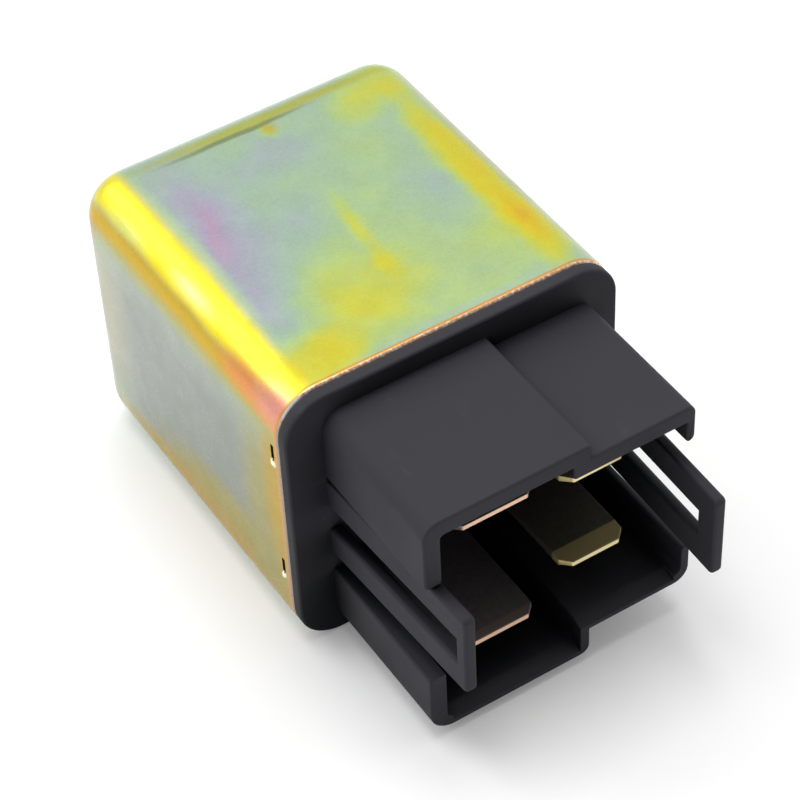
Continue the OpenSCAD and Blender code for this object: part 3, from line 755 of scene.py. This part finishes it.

# Drawn steel, zinc-plated and yellow-passivated: clouds of interference colour over a soft gloss, with
# painted highlights and painted shade laid over some of them
ZINC = YellowPassivatedZinc(
    "yellow_passivated_zinc",
    "#a6bca4",
    1.0,
    0.27,
    scale=(
        (0.0, "#cf8fb2"),
        (0.12, "#bf9db6"),
        (0.22, "#b0a8bc"),
        (0.32, "#abb5b9"),
        (0.42, "#a8beac"),
        (0.5, "#abc59e"),
        (0.6, "#b7cd84"),
        (0.7, "#c8ce5e"),
        (0.8, "#d6cd42"),
        (0.9, "#dfc134"),
        (1.0, "#d9a845"),
        (1.15, "#d99864"),
        (1.3, "#cf8f80"),
    ),
    swells=(
        # Thin film beside the left edge, down to pink in its middle
        Swell((-9.3, 3.0, TOP), (5.2, 15.5, 5.0), core=0.1, rise=-0.19),
        Swell((-9.9, 4.2, TOP), (2.5, 11.5, 4.0), turn=3.0, rise=-0.07),
        Swell((-9.8, 2.2, TOP), (1.6, 5.4, 4.0), rise=-0.06),
        Swell((-10.4, -8.2, TOP), (2.4, 6.0, 4.0), turn=4.0, rise=-0.14),
        Swell((-1.4, 9.2, TOP), (6.6, 3.4, 4.0), turn=-8.0, rise=-0.12),
        Swell((-3.1, 1.0, TOP), (4.4, 4.6, 4.0), rise=-0.08),
        Swell((8.6, -1.9, TOP), (4.0, 3.6, 4.0), rise=-0.07),
        # Thicker film in the middle, at the front and in the front left corner
        Swell((2.2, -2.0, TOP), (7.0, 9.0, 5.0), rise=0.09),
        Swell((7.0, 5.0, TOP), (6.0, 7.0, 5.0), rise=0.06),
        Swell((5.0, -12.0, TOP), (15.0, 8.0, 5.0), core=0.3, rise=0.1),
        Swell((-4.0, -9.2, TOP), (8.4, 7.6, 5.0), core=0.2, rise=0.18),
        Swell((-5.6, -11.2, TOP), (3.8, 3.0, 4.0), rise=0.09),
        Swell((-4.6, -14.6, TOP), (5.6, 3.2, 4.0), rise=0.06),
        Swell((-10.4, -14.4, TOP), (6.0, 4.8, 5.0), core=0.25, rise=0.3),
        # Two run marks
        Swell((0.4, -2.6, TOP), (1.2, 6.0, 4.0), turn=5.0, rise=0.18),
        Swell((0.1, -8.0, TOP), (1.4, 2.4, 4.0), rise=0.12),
        Swell((0.9, 12.2, TOP), (1.1, 1.9, 4.0), rise=0.26),
        # Thick film along the right edge and in the back right corner
        Swell((9.0, 11.0, TOP), (4.2, 4.0, 5.0), core=0.1, rise=0.2),
        Swell((12.4, 13.0, TOP), (4.6, 4.6, 5.0), core=0.2, rise=0.17),
        Swell((12.4, -3.0, TOP), (3.0, 19.0, 6.0), core=0.3, rise=0.35),
        Swell((10.6, -9.6, TOP), (3.4, 6.4, 5.0), core=0.1, rise=0.07),
        # Sides that the rest of the can hides from above
        Swell((2.0, BACK, 18.0), (8.0, 4.0, 5.0), rise=0.15),
        Swell((6.5, BACK, 14.0), (5.0, 4.0, 8.0), rise=0.15),
        Swell((-1.0, BACK, 12.0), (9.0, 4.0, 3.0), rise=0.1),
        Swell((-9.5, BACK, 9.0), (4.0, 4.0, 9.0), rise=-0.15),
        Swell((-6.0, BACK, 5.5), (8.0, 4.0, 3.0), rise=-0.1),
        Swell((-5.0, BACK, 22.5), (8.0, 4.0, 3.0), rise=-0.12),
        Swell((9.0, BACK, 4.5), (7.0, 4.0, 4.0), rise=0.2),
        Swell((16.0, -8.0, 11.0), (4.0, 8.0, 5.0), rise=0.2),
        Swell((16.0, -11.0, 6.0), (4.0, 6.0, 6.0), rise=0.15),
        Swell((16.0, 6.0, 17.0), (4.0, 9.0, 4.0), rise=-0.15),
        Swell((16.0, 9.0, 12.0), (4.0, 4.0, 8.0), rise=-0.12),
        Swell((4.0, -6.0, 0.0), (9.0, 6.0, 3.0), turn=20.0, rise=0.18),
        Swell((9.0, 2.0, 0.0), (5.0, 9.0, 3.0), turn=-12.0, rise=0.14),
        Swell((-7.0, 6.0, 0.0), (6.0, 8.0, 3.0), turn=15.0, rise=-0.16),
        Swell((-8.0, -7.0, 0.0), (4.0, 8.0, 3.0), rise=-0.1),
    ),
    blooms=(
        # Beside the rim the film is pale; the closed end's rounding gets a pale painted highlight, and its
        # fold a dark line of painted shade
        Bloom((2.0, -16.3, TOP), (13.5, 1.2, 3.0), core=0.3, colour="#b0c6b0", share=0.7),
        Bloom((-12.2, 2.0, TOP), (1.2, 17.0, 2.0), core=0.2, colour="#bed2a6", share=0.85),
        # Painted highlight: a pale band along the closed end's rounding
        Bloom((2.0, 15.7, 26.9), (19.0, 1.6, 2.0), core=0.4, colour="#b6c4b2", share=0.9),
        Bloom((2.0, 13.85, 27.8), (19.0, 1.0, 2.0), core=0.25, colour="#b5b64c", share=0.85),
        Bloom((0.9, 12.4, TOP), (1.1, 1.5, 2.0), colour="#b8a654", share=0.7),
        # Painted shade: a dark line along the closed end's fold
        Bloom((-2.0, 13.08, TOP), (9.4, 0.46, 1.6), core=0.3, colour="#75804a", share=0.7),
        Bloom((-12.9, -14.6, TOP), (1.6, 4.2, 3.0), colour="#e6d336", share=0.9),
        Bloom((15.0, 0.0, 26.6), (1.9, 24.0, 1.9), core=0.3, colour="#a9ab80", share=0.9),
        Bloom((16.0, 0.0, 22.6), (1.6, 22.0, 2.4), colour="#b8b890", share=0.9),
        # Left side: grey-green, painted darker than the top as shade, paler at the back as a painted
        # highlight, with a yellow foot and a yellow front edge
        # Painted shade: the whole side darker than the top
        Bloom((LEFT, 0.0, 13.0), (2.6, 24.0, 16.0), core=0.5, colour="#8c948c"),
        Bloom((LEFT, 0.0, 22.4), (2.6, 18.0, 4.0), core=0.1, colour="#9aa298", share=0.8),
        # Painted highlight: paler towards the back
        Bloom((LEFT, 15.0, 15.0), (2.6, 7.5, 16.0), core=0.2, colour="#b0ae98", share=0.95),
        Bloom((LEFT, -7.5, 5.0), (2.6, 16.0, 6.2), core=0.4, colour="#a3983c", share=0.95),
        Bloom((LEFT, -4.0, 3.2), (2.6, 24.0, 3.2), core=0.4, colour="#b29428"),
        Bloom((LEFT, -13.4, 13.0), (2.6, 4.8, 16.0), core=0.2, colour="#a09a58", share=0.95),
        Bloom((LEFT, -16.4, 17.0), (2.6, 3.7, 16.0), core=0.3, colour="#b89a10"),
        # Rounded edge: bright yellow above with pale painted highlights along it, gold below, salmon towards
        # the rim
        Bloom((-14.2, 0.0, 27.4), (2.4, 40.0, 2.4), core=0.5, colour="#f4e43c"),
        # Painted highlight: a pale lemon patch on the bright yellow
        Bloom((-14.6, -1.2, 26.9), (1.2, 5.0, 1.2), colour="#fbf6a0", share=0.6),
        Bloom((-15.7, 0.0, 25.1), (1.4, 40.0, 1.8), core=0.4, colour="#c9a93a"),
        # Painted highlight: a pale green-white patch on the bright yellow
        Bloom((-14.9, 9.0, 26.5), (0.9, 5.0, 0.9), colour="#dde78c", share=0.8),
        Bloom((-16.1, 0.0, 23.9), (1.5, 40.0, 1.5), core=0.1, colour="#a6a86c", share=0.85),
        Bloom((-15.2, -11.5, 25.8), (2.0, 6.5, 2.0), core=0.1, colour="#dd945a"),
        Bloom((-15.0, -16.0, 26.0), (2.4, 5.2, 2.6), core=0.2, colour="#df9a88"),
        Bloom((-14.6, 16.4, 26.4), (3.4, 2.6, 3.0), core=0.2, colour="#a3a355", share=0.85),
        Bloom((-16.4, 15.0, 24.0), (2.0, 2.6, 1.8), colour="#bb8a6a", share=0.8),
    )
    + tuple(
        # Bare metal where the punch spread the sheet below each crimp, painted near white as a highlight
        Bloom((side * 16.2, -15.75, z), (0.7, 0.5, 0.6), core=0.5, colour="#fffbe8")
        for side in (-1, 1)
        for z in PUNCHED
    ),
)
# Black glass-filled nylon, moulded: an even satin charcoal, with painted shade that turns it black in its
# corners
BASE_NYLON = MouldedNylon("black_glass_filled_nylon", "#3a3a3f", 0.0, 0.58, 0.08, painted_corner_shade_mm=18.0)
# Natural nylon, moulded: warm ivory with a soft sheen
BOBBIN_NYLON = MouldedNylon("natural_nylon", "#e3ddca", 0.0, 0.45, 0.5, scuff="#c9bfa2")
# Copper strip, rolled and blanked: dark with tarnish, with a bare salmon edge where it was sheared
COPPER = RolledBlade(
    "rolled_copper_strip",
    "#7d7576",
    0.6,
    0.4,
    tip_colour="#f6cdb0",
    coin_mm=0.9,
    tarnish="#4b484c",
    coined="#94827c",
)
# Brass strip, rolled and coined: olive with tarnish, with a pale gold coined end
BRASS = RolledBlade(
    "rolled_brass_strip",
    "#5c584c",
    0.6,
    0.36,
    tip_colour="#f8e6ae",
    tarnish="#3a3a3a",
    coined="#cdbb80",
    sheltered="#bfa565",
)
# Soft iron under dull zinc plate: cool grey with faint rolling lines
IRON = PlatedPressing("zinc_plated_soft_iron", "#a9abab", 1.0, 0.34)
# Steel rivet, upset cold: brighter and smoother than the plate that it holds
RIVET = PlatedPressing("bright_rivet_steel", "#9b9c9c", 1.0, 0.28, along=(1.0, 1.0, 1.0))
# Phosphor bronze spring strip, rolled: warm brown-gold with lines along it
BRONZE = PlatedPressing(
    "phosphor_bronze_strip", "#b9824e", 1.0, 0.26, stain="#8a5a30", along=(30.0, 1.0, 1.0)
)
# Silver alloy, pressed: near white and glossy, with grey tarnish
SILVER = PlatedPressing(
    "silver_alloy_contact", "#d9d7d0", 1.0, 0.22, stain="#a39f90", along=(1.0, 1.0, 1.0)
)
# Spring steel wire, drawn: cold bright grey
SPRING_STEEL = PlatedPressing(
    "drawn_spring_wire", "#b4b6b8", 1.0, 0.22, stain="#8b8c8e", along=(1.0, 1.0, 1.0)
)
# Enamelled copper wire, wound: orange-brown turns with a wet gloss
WIRE = EnamelledWire("enamelled_copper_wire", "#a4531f", 0.85, 0.24)
# Polyester film, wound on with adhesive: amber and glassy
TAPE = WoundFilm("polyester_film_tape", "#c98f22", 0.0, 0.2)
# Bare copper wires, plaited: red-brown, dark between the strands
BRAID = WovenCopper("woven_copper_braid", "#b06a3c", 1.0, 0.36)
# Silicone rubber, moulded: matt brick red with a dusty bloom
RUBBER = MouldedRubber("moulded_seal_rubber", "#6e2f1c", 0.0, 0.62, 0.35)
# Ceramic under lacquer: glossy blue with colour bands
RESISTOR = BandedCeramic("lacquered_ceramic", "#3f6f9f", 0.0, 0.3)


# Meshes

# Degrees that an edge has to turn before it is rounded, and before it shades as sharp
ROUNDED_FROM, SHARP_FROM = 38.0, 34.0
# Faces that turn less than this, in degrees, are taken as one
FLAT_WITHIN = 0.5


def add_object(name: str, mesh: bpy.types.Mesh) -> Piece:
    """Links a mesh to the scene under a piece's name.

    Args:
        name: name of the new piece.
        mesh: its mesh.

    Returns:
        The new piece.
    """
    made = bpy.data.objects.new(name, mesh)
    bpy.context.scene.collection.objects.link(made)
    return made


def finished(work: bmesh.types.BMesh, name: str) -> Piece:
    """Turns a mesh under construction into a piece.

    Args:
        work: the mesh, which is used up.
        name: name of the new piece and of its mesh.

    Returns:
        The new piece.
    """
    mesh = bpy.data.meshes.new(name)
    work.to_mesh(mesh)
    work.free()
    return add_object(name, mesh)


def skin(work: bmesh.types.BMesh, rings: list[list[bmesh.types.BMVert]], closed: bool = False) -> None:
    """Joins each ring of corners to the next with four-sided faces.

    Args:
        work: the mesh under construction.
        rings: the rings, all with the same number of corners.
        closed: whether the last ring is joined to the first.
    """
    count = len(rings[0])
    for low, high in zip(rings, rings[1:] + rings[:1] if closed else rings[1:]):
        for i in range(count):
            j = (i + 1) % count
            work.faces.new((low[i], low[j], high[j], high[i]))


def settle(piece: Piece) -> None:
    """Turns a piece's modifiers into its mesh.

    Args:
        piece: the object whose modifiers are applied.
    """
    graph = bpy.context.evaluated_depsgraph_get()
    final = bpy.data.meshes.new_from_object(piece.evaluated_get(graph))
    piece.modifiers.clear()
    piece.data = final


def smooth(piece: Piece, degrees: float = 32.0) -> None:
    """Shades a piece smoothly, apart from edges sharper than an angle.

    Args:
        piece: the object to shade.
        degrees: the angle above which an edge stays sharp.
    """
    piece.data.polygons.foreach_set("use_smooth", [True] * len(piece.data.polygons))
    piece.data.set_sharp_from_angle(angle=math.radians(degrees))


@dataclass(frozen=True)
class EdgeZone:
    """A box, in millimetres, whose edges are rounded by a width of their own."""

    low: Point
    high: Point
    width: float

    def holds(self, place: Vector) -> bool:
        """Whether a place, in metres, lies in the box."""
        return all(low * MM < at < high * MM for low, at, high in zip(self.low, place, self.high))


def softened(
    node: Piece,
    name: str,
    width: float,
    segments: int = 2,
    weld: float = 0.0002,
    zones: tuple[EdgeZone, ...] = (),
) -> Piece:
    """Copies a CAD node and rounds its outside edges as the real tool leaves them.

    Args:
        node: the CAD node.
        name: name of the new piece.
        width: width of the rounded edge in millimetres.
        segments: facets across the rounding.
        weld: corners closer than this, in millimetres, become one, so that no facet stops the rounding.
        zones: places with another width.

    Returns:
        The new piece, at the node's place.
    """
    mesh = node.data.copy()
    mesh.name = name
    mesh.materials.clear()
    work = bmesh.new()
    work.from_mesh(mesh)
    bmesh.ops.remove_doubles(work, verts=work.verts, dist=weld * MM)
    flat_within = math.radians(FLAT_WITHIN)
    bmesh.ops.dissolve_limit(
        work, angle_limit=flat_within, verts=work.verts, edges=work.edges, delimit={"NORMAL"}
    )
    weight = work.edges.layers.float.new("bevel_weight_edge")
    widest = max([width, *(zone.width for zone in zones)])
    least = math.radians(ROUNDED_FROM)
    for edge in work.edges:
        if len(edge.link_faces) == 2 and edge.is_convex and edge.calc_face_angle() > least:
            middle = (edge.verts[0].co + edge.verts[1].co) / 2
            here = next((zone.width for zone in zones if zone.holds(middle)), width)
            edge[weight] = here / widest
    work.to_mesh(mesh)
    work.free()
    if mesh.has_custom_normals:
        mesh.attributes.remove(mesh.attributes["custom_normal"])
    piece = add_object(name, mesh)
    bevel = piece.modifiers.new("edge", "BEVEL")
    bevel.width = widest * MM
    bevel.segments = segments
    bevel.limit_method = "WEIGHT"
    bevel.use_clamp_overlap = False
    settle(piece)
    smooth(piece, SHARP_FROM)
    # Flat faces keep their own normal, so that only the rounding itself shades softly
    flat = piece.modifiers.new("flat", "WEIGHTED_NORMAL")
    flat.keep_sharp = True
    settle(piece)
    return piece


# The relay's sub-assemblies


@dataclass
class Relay:
    """What every sub-assembly shares: the loaded frame and how a piece is dressed."""

    frame: dict[str, Any]

    def node(self, name: str) -> Piece:
        """The CAD node of a name."""
        return self.frame["nodes"][name]

    def body_name(self, name: str) -> str:
        """The CAD body that a node belongs to."""
        return self.node(name)["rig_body"]

    def made_once(self, finish: Finish) -> bpy.types.Material:
        """The material of a finish, made at its first use."""
        return bpy.data.materials.get(finish.name) or finish.material()

    def dress(self, piece: Piece, finish: Finish) -> None:
        """Gives a new piece one finish all over.

        Args:
            piece: the object.
            finish: its finish.
        """
        piece.data.materials.clear()
        piece.data.materials.append(self.made_once(finish))

    def stand_in(self, piece: Piece, node: str, finish: Finish) -> None:
        """Puts a finished piece in a CAD node's place.

        Args:
            piece: the new piece.
            node: the CAD node that it stands for.
            finish: its finish.
        """
        self.dress(piece, finish)
        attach(piece, self.body_name(node))
        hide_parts(node)
        LOG.info("%s: %d faces in %s", piece.name, len(piece.data.polygons), finish.name)

    def round_off(
        self, node: str, name: str, finish: Finish, width: float, segments: int = 2
    ) -> None:
        """Puts a copy of a CAD node, with its outside edges rounded, in the node's place.

        Args:
            node: the CAD node.
            name: name of the new piece.
            finish: its finish.
            width: width of the rounded edge in millimetres.
            segments: facets across the rounding.
        """
        self.stand_in(softened(self.node(node), name, width, segments), node, finish)

    def keep(self, node: str, finish: Finish) -> None:
        """Keeps a CAD node's own shape, and gives its material slots a finish.

        Args:
            node: the CAD node.
            finish: its finish.
        """
        for slot in self.node(node).material_slots:
            slot.material = self.made_once(finish)
        LOG.info("%s: kept from the frame in %s", node, finish.name)


@dataclass
class SteelCan(Relay):
    """The drawn can: round long edges, round closed end, a broken rim edge and four crimp windows."""

    width: float = 32.0
    height: float = 27.9
    depth: float = 33.5
    sheet: float = 0.6
    edge_r: float = 4.0
    end_r: float = 3.1
    lip: float = 0.32
    crimp: Point = (0.45, 1.6, 0.9)
    crimp_pitch: float = 13.6
    crimp_lift: float = 1.3
    punch: Point = (0.14, 0.24, 0.4)
    around: int = 14
    side_steps: int = 10
    wall_rings: int = 16
    end_steps: int = 12
    lip_steps: int = 6
    first_ring: float = 0.012
    sharp_from: float = 40.0

    def outline(self, inset: float) -> list[tuple[float, float]]:
        """Rounded rectangle across the plug axis, with extra points along its sides.

        Args:
            inset: distance in from the can's outer side.

        Returns:
            X and Z of each point, counterclockwise.
        """
        half_w, half_h = self.width / 2 - inset, self.height / 2 - inset
        radius = max(self.edge_r - inset, 0.05)
        points: list[tuple[float, float]] = []
        corners = [(1, 1, 0), (-1, 1, 90), (-1, -1, 180), (1, -1, 270)]
        for index, (sx, sz, start) in enumerate(corners):
            cx, cz = sx * (half_w - radius), sz * (half_h - radius)
            arc = []
            for step in range(self.around + 1):
                angle = math.radians(start + 90 * step / self.around)
                arc.append((cx + radius * math.cos(angle), cz + radius * math.sin(angle)))
            points += arc
            nx, nz, _ = corners[(index + 1) % 4]
            far_angle = math.radians(start + 90)
            far = (
                nx * (half_w - radius) + radius * math.cos(far_angle),
                nz * (half_h - radius) + radius * math.sin(far_angle),
            )
            near = arc[-1]
            for step in range(1, self.side_steps):
                share = step / self.side_steps
                points.append((near[0] + share * (far[0] - near[0]), near[1] + share * (far[1] - near[1])))
        return points

    def section(self, grow: float) -> list[tuple[float, float]]:
        """Depth and inset of each ring of one skin, from the rim to the closed end.

        Args:
            grow: distance in from the outer skin; 0 is the outer skin itself.

        Returns:
            Y and inset of each ring.
        """
        rim, end = -self.depth / 2, self.depth / 2 - grow
        radius = self.end_r - grow
        wall = end - radius - rim
        rings = []
        for i in range(self.wall_rings + 1):
            share = self.first_ring + (1 - self.first_ring) * i / self.wall_rings
            rings.append((rim + wall * share, grow))
        for step in range(1, self.end_steps + 1):
            angle = math.pi / 2 * step / self.end_steps
            rings.append((end - radius + radius * math.sin(angle), grow + radius * (1 - math.cos(angle))))
        return rings

    def shell(self) -> Piece:
        """Builds both skins, joined by the rounded lip at the rim.

        Returns:
            The can without its crimp windows.
        """
        rim = -self.depth / 2
        lip = []
        for step in range(self.lip_steps + 1):
            angle = math.pi / 2 * step / self.lip_steps
            lip.append((rim + self.lip * (1 - math.sin(angle)), self.lip * (1 - math.cos(angle))))
        outer = list(reversed(self.section(0.0))) + lip
        inner = [(rim, self.sheet)] + self.section(self.sheet)
        rings = outer + inner
        work = bmesh.new()
        middle = self.height / 2
        rows = []
        for y, inset in rings:
            outline = self.outline(inset)
            rows.append([work.verts.new((x * MM, y * MM, (z + middle) * MM)) for x, z in outline])
        skin(work, rows)
        work.faces.new(rows[0])
        work.faces.new(list(reversed(rows[-1])))
        bmesh.ops.recalc_face_normals(work, faces=work.faces)
        return finished(work, "can_shell")

    def cut_windows(self, shell: Piece) -> None:
        """Cuts the four crimp windows through the shell.

        Args:
            shell: the can.
        """
        wide, tall, inset = self.crimp
        work = bmesh.new()
        for side in (-1, 1):
            for up in (-1, 1):
                x = side * (self.width - self.sheet) / 2
                y = -self.depth / 2 + inset
                z = self.height / 2 + self.crimp_lift + up * self.crimp_pitch / 2
                place = Matrix.Translation(Vector((x * MM, y * MM, z * MM)))
                size = Matrix.Diagonal(((self.sheet + 0.5) * MM, wide * MM, tall * MM, 1.0))
                bmesh.ops.create_cube(work, size=1.0, matrix=place @ size)
        cutter = finished(work, "crimp_cutter")
        cut = shell.modifiers.new("windows", "BOOLEAN")
        cut.operation = "DIFFERENCE"
        cut.object = cutter
        cut.solver = "EXACT"
        settle(shell)
        bpy.data.objects.remove(cutter)

    def punch_marks(self, shell: Piece) -> None:
        """Adds the small bulge that the punch leaves below each crimp.

        Args:
            shell: the can.
        """
        work = bmesh.new()
        work.from_mesh(shell.data)
        _, _, inset = self.crimp
        for side in (-1, 1):
            for height in PUNCHED:
                centre = Vector((side * self.width / 2, -self.depth / 2 + inset + 0.1, height)) * MM
                bmesh.ops.create_uvsphere(
                    work,
                    u_segments=16,
                    v_segments=10,
                    radius=MM,
                    matrix=Matrix.Translation(centre) @ Matrix.Diagonal((*self.punch, 1.0)),
                )
        work.to_mesh(shell.data)
        work.free()

    def build(self) -> None:
        """Builds and dresses the can."""
        shell = self.shell()
        self.cut_windows(shell)
        self.punch_marks(shell)
        smooth(shell, self.sharp_from)
        self.stand_in(shell, "can", ZINC)


@dataclass
class ConnectorMoulding(Relay):
    """The black base moulding with its shroud and latch arms, and the ring that seals it."""

    edge: float = 0.26
    weld: float = 0.04
    zones: tuple[EdgeZone, ...] = (
        EdgeZone((-14.0, -40.0, 9.5), (-11.2, -18.2, 18.7), 0.36),
        EdgeZone((11.8, -40.0, 9.5), (15.0, -18.2, 18.7), 0.36),
        EdgeZone((-14.0, -33.0, 0.5), (15.0, -30.0, 8.2), 0.1),
    )

    def build(self) -> None:
        """Builds and dresses the moulding and its seal."""
        moulding = softened(self.node("base"), "connector_moulding", self.edge, 3, self.weld, self.zones)
        self.stand_in(moulding, "base", BASE_NYLON)
        self.round_off("base_seal", "seal_ring", RUBBER, 0.3, 3)


@dataclass
class Terminals(Relay):
    """The four blades, the contact riveted to one of them, and what is soldered to them."""

    burr: float = 0.06

    def build(self) -> None:
        """Builds and dresses the blades, the fixed contact, the braid and the resistor."""
        for node, finish in (
            ("feed_terminal", COPPER),
            ("load_terminal", COPPER),
            ("coil_terminal_upper", BRASS),
            ("coil_terminal_lower", BRASS),
        ):
            self.round_off(node, node.replace("terminal", "blade"), finish, self.burr)
        self.round_off("fixed_contact", "fixed_button", SILVER, 0.15, 3)
        self.round_off("flexible_braid", "copper_braid", BRAID, 0.15, 3)
        self.keep("suppression_resistor", RESISTOR)


@dataclass
class Magnet(Relay):
    """Yoke, core, bobbin and the wound coil."""

    axis: tuple[float, float] = (1.0, 13.95)
    span: tuple[float, float] = (-10.72, 6.92)
    radii: tuple[float, float] = (4.04, 7.4)
    pitch: float = 0.28
    # Each turn's outline: share of the pitch and how far the wire falls away there
    ridge: tuple[Span, ...] = ((0.0, 0.09), (0.25, 0.02), (0.5, 0.0), (0.75, 0.02))
    around: int = 96
    corner: float = 0.12

    def winding(self) -> Piece:
        """Turns the wound wire: one ridge for each turn of the outer layer.

        Returns:
            The coil as a ridged sleeve.
        """
        turns = int((self.span[1] - self.span[0]) / self.pitch)
        step = (self.span[1] - self.span[0]) / turns
        inner, outer = self.radii
        section = [(self.span[0], inner)]
        for turn in range(turns):
            for share, drop in self.ridge:
                section.append((self.span[0] + (turn + share) * step, outer - drop))
        section += [(self.span[1], outer - self.ridge[0][1]), (self.span[1], inner)]
        work = bmesh.new()
        rows = []
        for y, radius in section:
            ring = []
            for i in range(self.around):
                angle = 2 * math.pi * i / self.around
                x, z = self.axis[0] + radius * math.cos(angle), self.axis[1] + radius * math.sin(angle)
                ring.append(work.verts.new((x * MM, y * MM, z * MM)))
            rows.append(ring)
        skin(work, rows, closed=True)
        bmesh.ops.recalc_face_normals(work, faces=work.faces)
        return finished(work, "wire_turns")

    def build(self) -> None:
        """Builds and dresses the magnet's pieces."""
        self.round_off("yoke", "yoke_pressing", IRON, self.corner)
        self.round_off("core", "pole_core", IRON, self.corner)
        self.round_off("bobbin", "bobbin_moulding", BOBBIN_NYLON, self.corner)
        turns = self.winding()
        smooth(turns, 50.0)
        self.stand_in(turns, "coil_winding", WIRE)
        self.keep("winding_tape", TAPE)
        self.keep("coil_leads", WIRE)


@dataclass
class SwitchingArm(Relay):
    """The hinged armature with its contact arm, rivets, moving contact and return spring."""

    def build(self) -> None:
        """Builds and dresses what moves when the coil pulls in."""
        self.round_off("armature", "armature_plate", IRON, 0.1)
        self.round_off("contact_arm", "contact_spring", BRONZE, 0.05)
        self.round_off("armature_rivets", "rivet_pair", RIVET, 0.12, 3)
        self.round_off("moving_contact", "moving_button", SILVER, 0.15, 3)
        self.keep("return_spring", SPRING_STEEL)


# Studio


@dataclass(frozen=True)
class SoftBox:
    """One softbox: where it stands, what it looks at, its size and its power."""

    name: str
    place: Point
    aim: Point
    size: tuple[float, float]
    watts: float

    def build(self) -> None:
        """Hangs the softbox in the scene."""
        lamp = bpy.data.lights.new(self.name, "AREA")
        lamp.shape = "RECTANGLE"
        lamp.size, lamp.size_y = self.size
        lamp.energy = self.watts
        held = bpy.data.objects.new(self.name, lamp)
        held.location = self.place
        held.rotation_euler = (Vector(self.aim) - Vector(self.place)).to_track_quat("-Z", "Y").to_euler()
        bpy.context.scene.collection.objects.link(held)


@dataclass(frozen=True)
class Studio:
    """Plain pale floor, soft light and the camera at the photograph's angle."""

    azimuth: float = -30.4495
    elevation: float = 45.4898
    roll: float = -3.0903
    place: Point = (-0.0835092, -0.1510409, 0.1804917)
    lens: float = 124.374
    sensor: float = 36.0
    floor_size: float = 6.0
    table_glow: float = 0.16
    bright_side: Point = (0.3, 1.0, 0.0)
    front_edge: float = -0.6
    back_edge: float = 0.25
    boxes: tuple[SoftBox, ...] = (
        SoftBox("edge_softbox", (-0.40, 0.54, 0.60), (0.0, 0.0, 0.014), (0.5, 0.5), 1.6),
        SoftBox("overhead_softbox", (0.0, 0.1, 0.9), (0.0, 0.0, 0.0), (0.5, 0.5), 3.6),
    )

    def camera(self) -> None:
        """Sets the camera where the photograph was taken from."""
        turn, lift, roll = (math.radians(v) for v in (self.azimuth, self.elevation, self.roll))
        back = Vector(
            (math.sin(turn) * math.cos(lift), -math.cos(turn) * math.cos(lift), math.sin(lift))
        )
        right = Vector((math.cos(turn), math.sin(turn), 0.0))
        up = back.cross(right)
        across = math.cos(roll) * right + math.sin(roll) * up
        above = -math.sin(roll) * right + math.cos(roll) * up
        lens = bpy.data.cameras.new("photo_camera")
        lens.lens = self.lens
        lens.sensor_width = self.sensor
        lens.clip_start, lens.clip_end = 0.01, 20.0
        camera = bpy.data.objects.new("photo_camera", lens)
        facing = Matrix((across, above, back)).transposed().to_4x4()
        camera.matrix_world = Matrix.Translation(Vector(self.place)) @ facing
        bpy.context.scene.collection.objects.link(camera)
        bpy.context.scene.camera = camera

    def floor(self) -> None:
        """Lays the pale floor, a sheet of opal acrylic lit a little from below."""
        work = bmesh.new()
        bmesh.ops.create_grid(work, x_segments=1, y_segments=1, size=self.floor_size)
        floor = finished(work, "studio_floor")
        acrylic = bpy.data.materials.new("opal_acrylic_light_table")
        acrylic.use_nodes = True
        shader = acrylic.node_tree.nodes["Principled BSDF"]
        shader.inputs["Base Color"].default_value = linear("#f0f0f0")
        shader.inputs["Roughness"].default_value = 0.9
        shader.inputs["Specular IOR Level"].default_value = 0.1
        shader.inputs["Emission Color"].default_value = linear("#ffffff")
        shader.inputs["Emission Strength"].default_value = self.table_glow
        floor.data.materials.append(acrylic)

    def room(self) -> None:
        """Sets the white light of the room, which is weaker on the side of the connector's mouth."""
        world = bpy.data.worlds.new("studio_room")
        world.use_nodes = True
        tree = world.node_tree
        shader = tree.nodes["Background"]
        shader.inputs["Color"].default_value = linear("#ffffff")
        way = add_node(tree, "ShaderNodeTexCoord")
        facing = add_node(
            tree,
            "ShaderNodeVectorMath",
            {"operation": "DOT_PRODUCT"},
            {0: way.outputs["Generated"], 1: self.bright_side},
        )
        shine = add_node(
            tree,
            "ShaderNodeMapRange",
            {"interpolation_type": "SMOOTHSTEP"},
            {
                "Value": facing.outputs["Value"],
                "From Min": self.front_edge,
                "From Max": self.back_edge,
                "To Min": Sky.FRONT.value,
                "To Max": Sky.BACK.value,
            },
        )
        tree.links.new(shine.outputs["Result"], shader.inputs["Strength"])
        bpy.context.scene.world = world
        bpy.context.scene.view_settings.view_transform = "Standard"

    def build(self) -> None:
        """Builds the whole studio."""
        self.camera()
        self.floor()
        self.room()
        for box in self.boxes:
            box.build()


def main() -> None:
    """Builds the relay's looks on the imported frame, piece by piece."""
    logging.basicConfig(level=logging.INFO, format="%(name)s: %(message)s")
    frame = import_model()
    for assembly in (
        SteelCan(frame),
        ConnectorMoulding(frame),
        Terminals(frame),
        Magnet(frame),
        SwitchingArm(frame),
    ):
        assembly.build()
    Studio().build()
    bpy.context.view_layer.update()


if __name__ == "__main__":
    main()
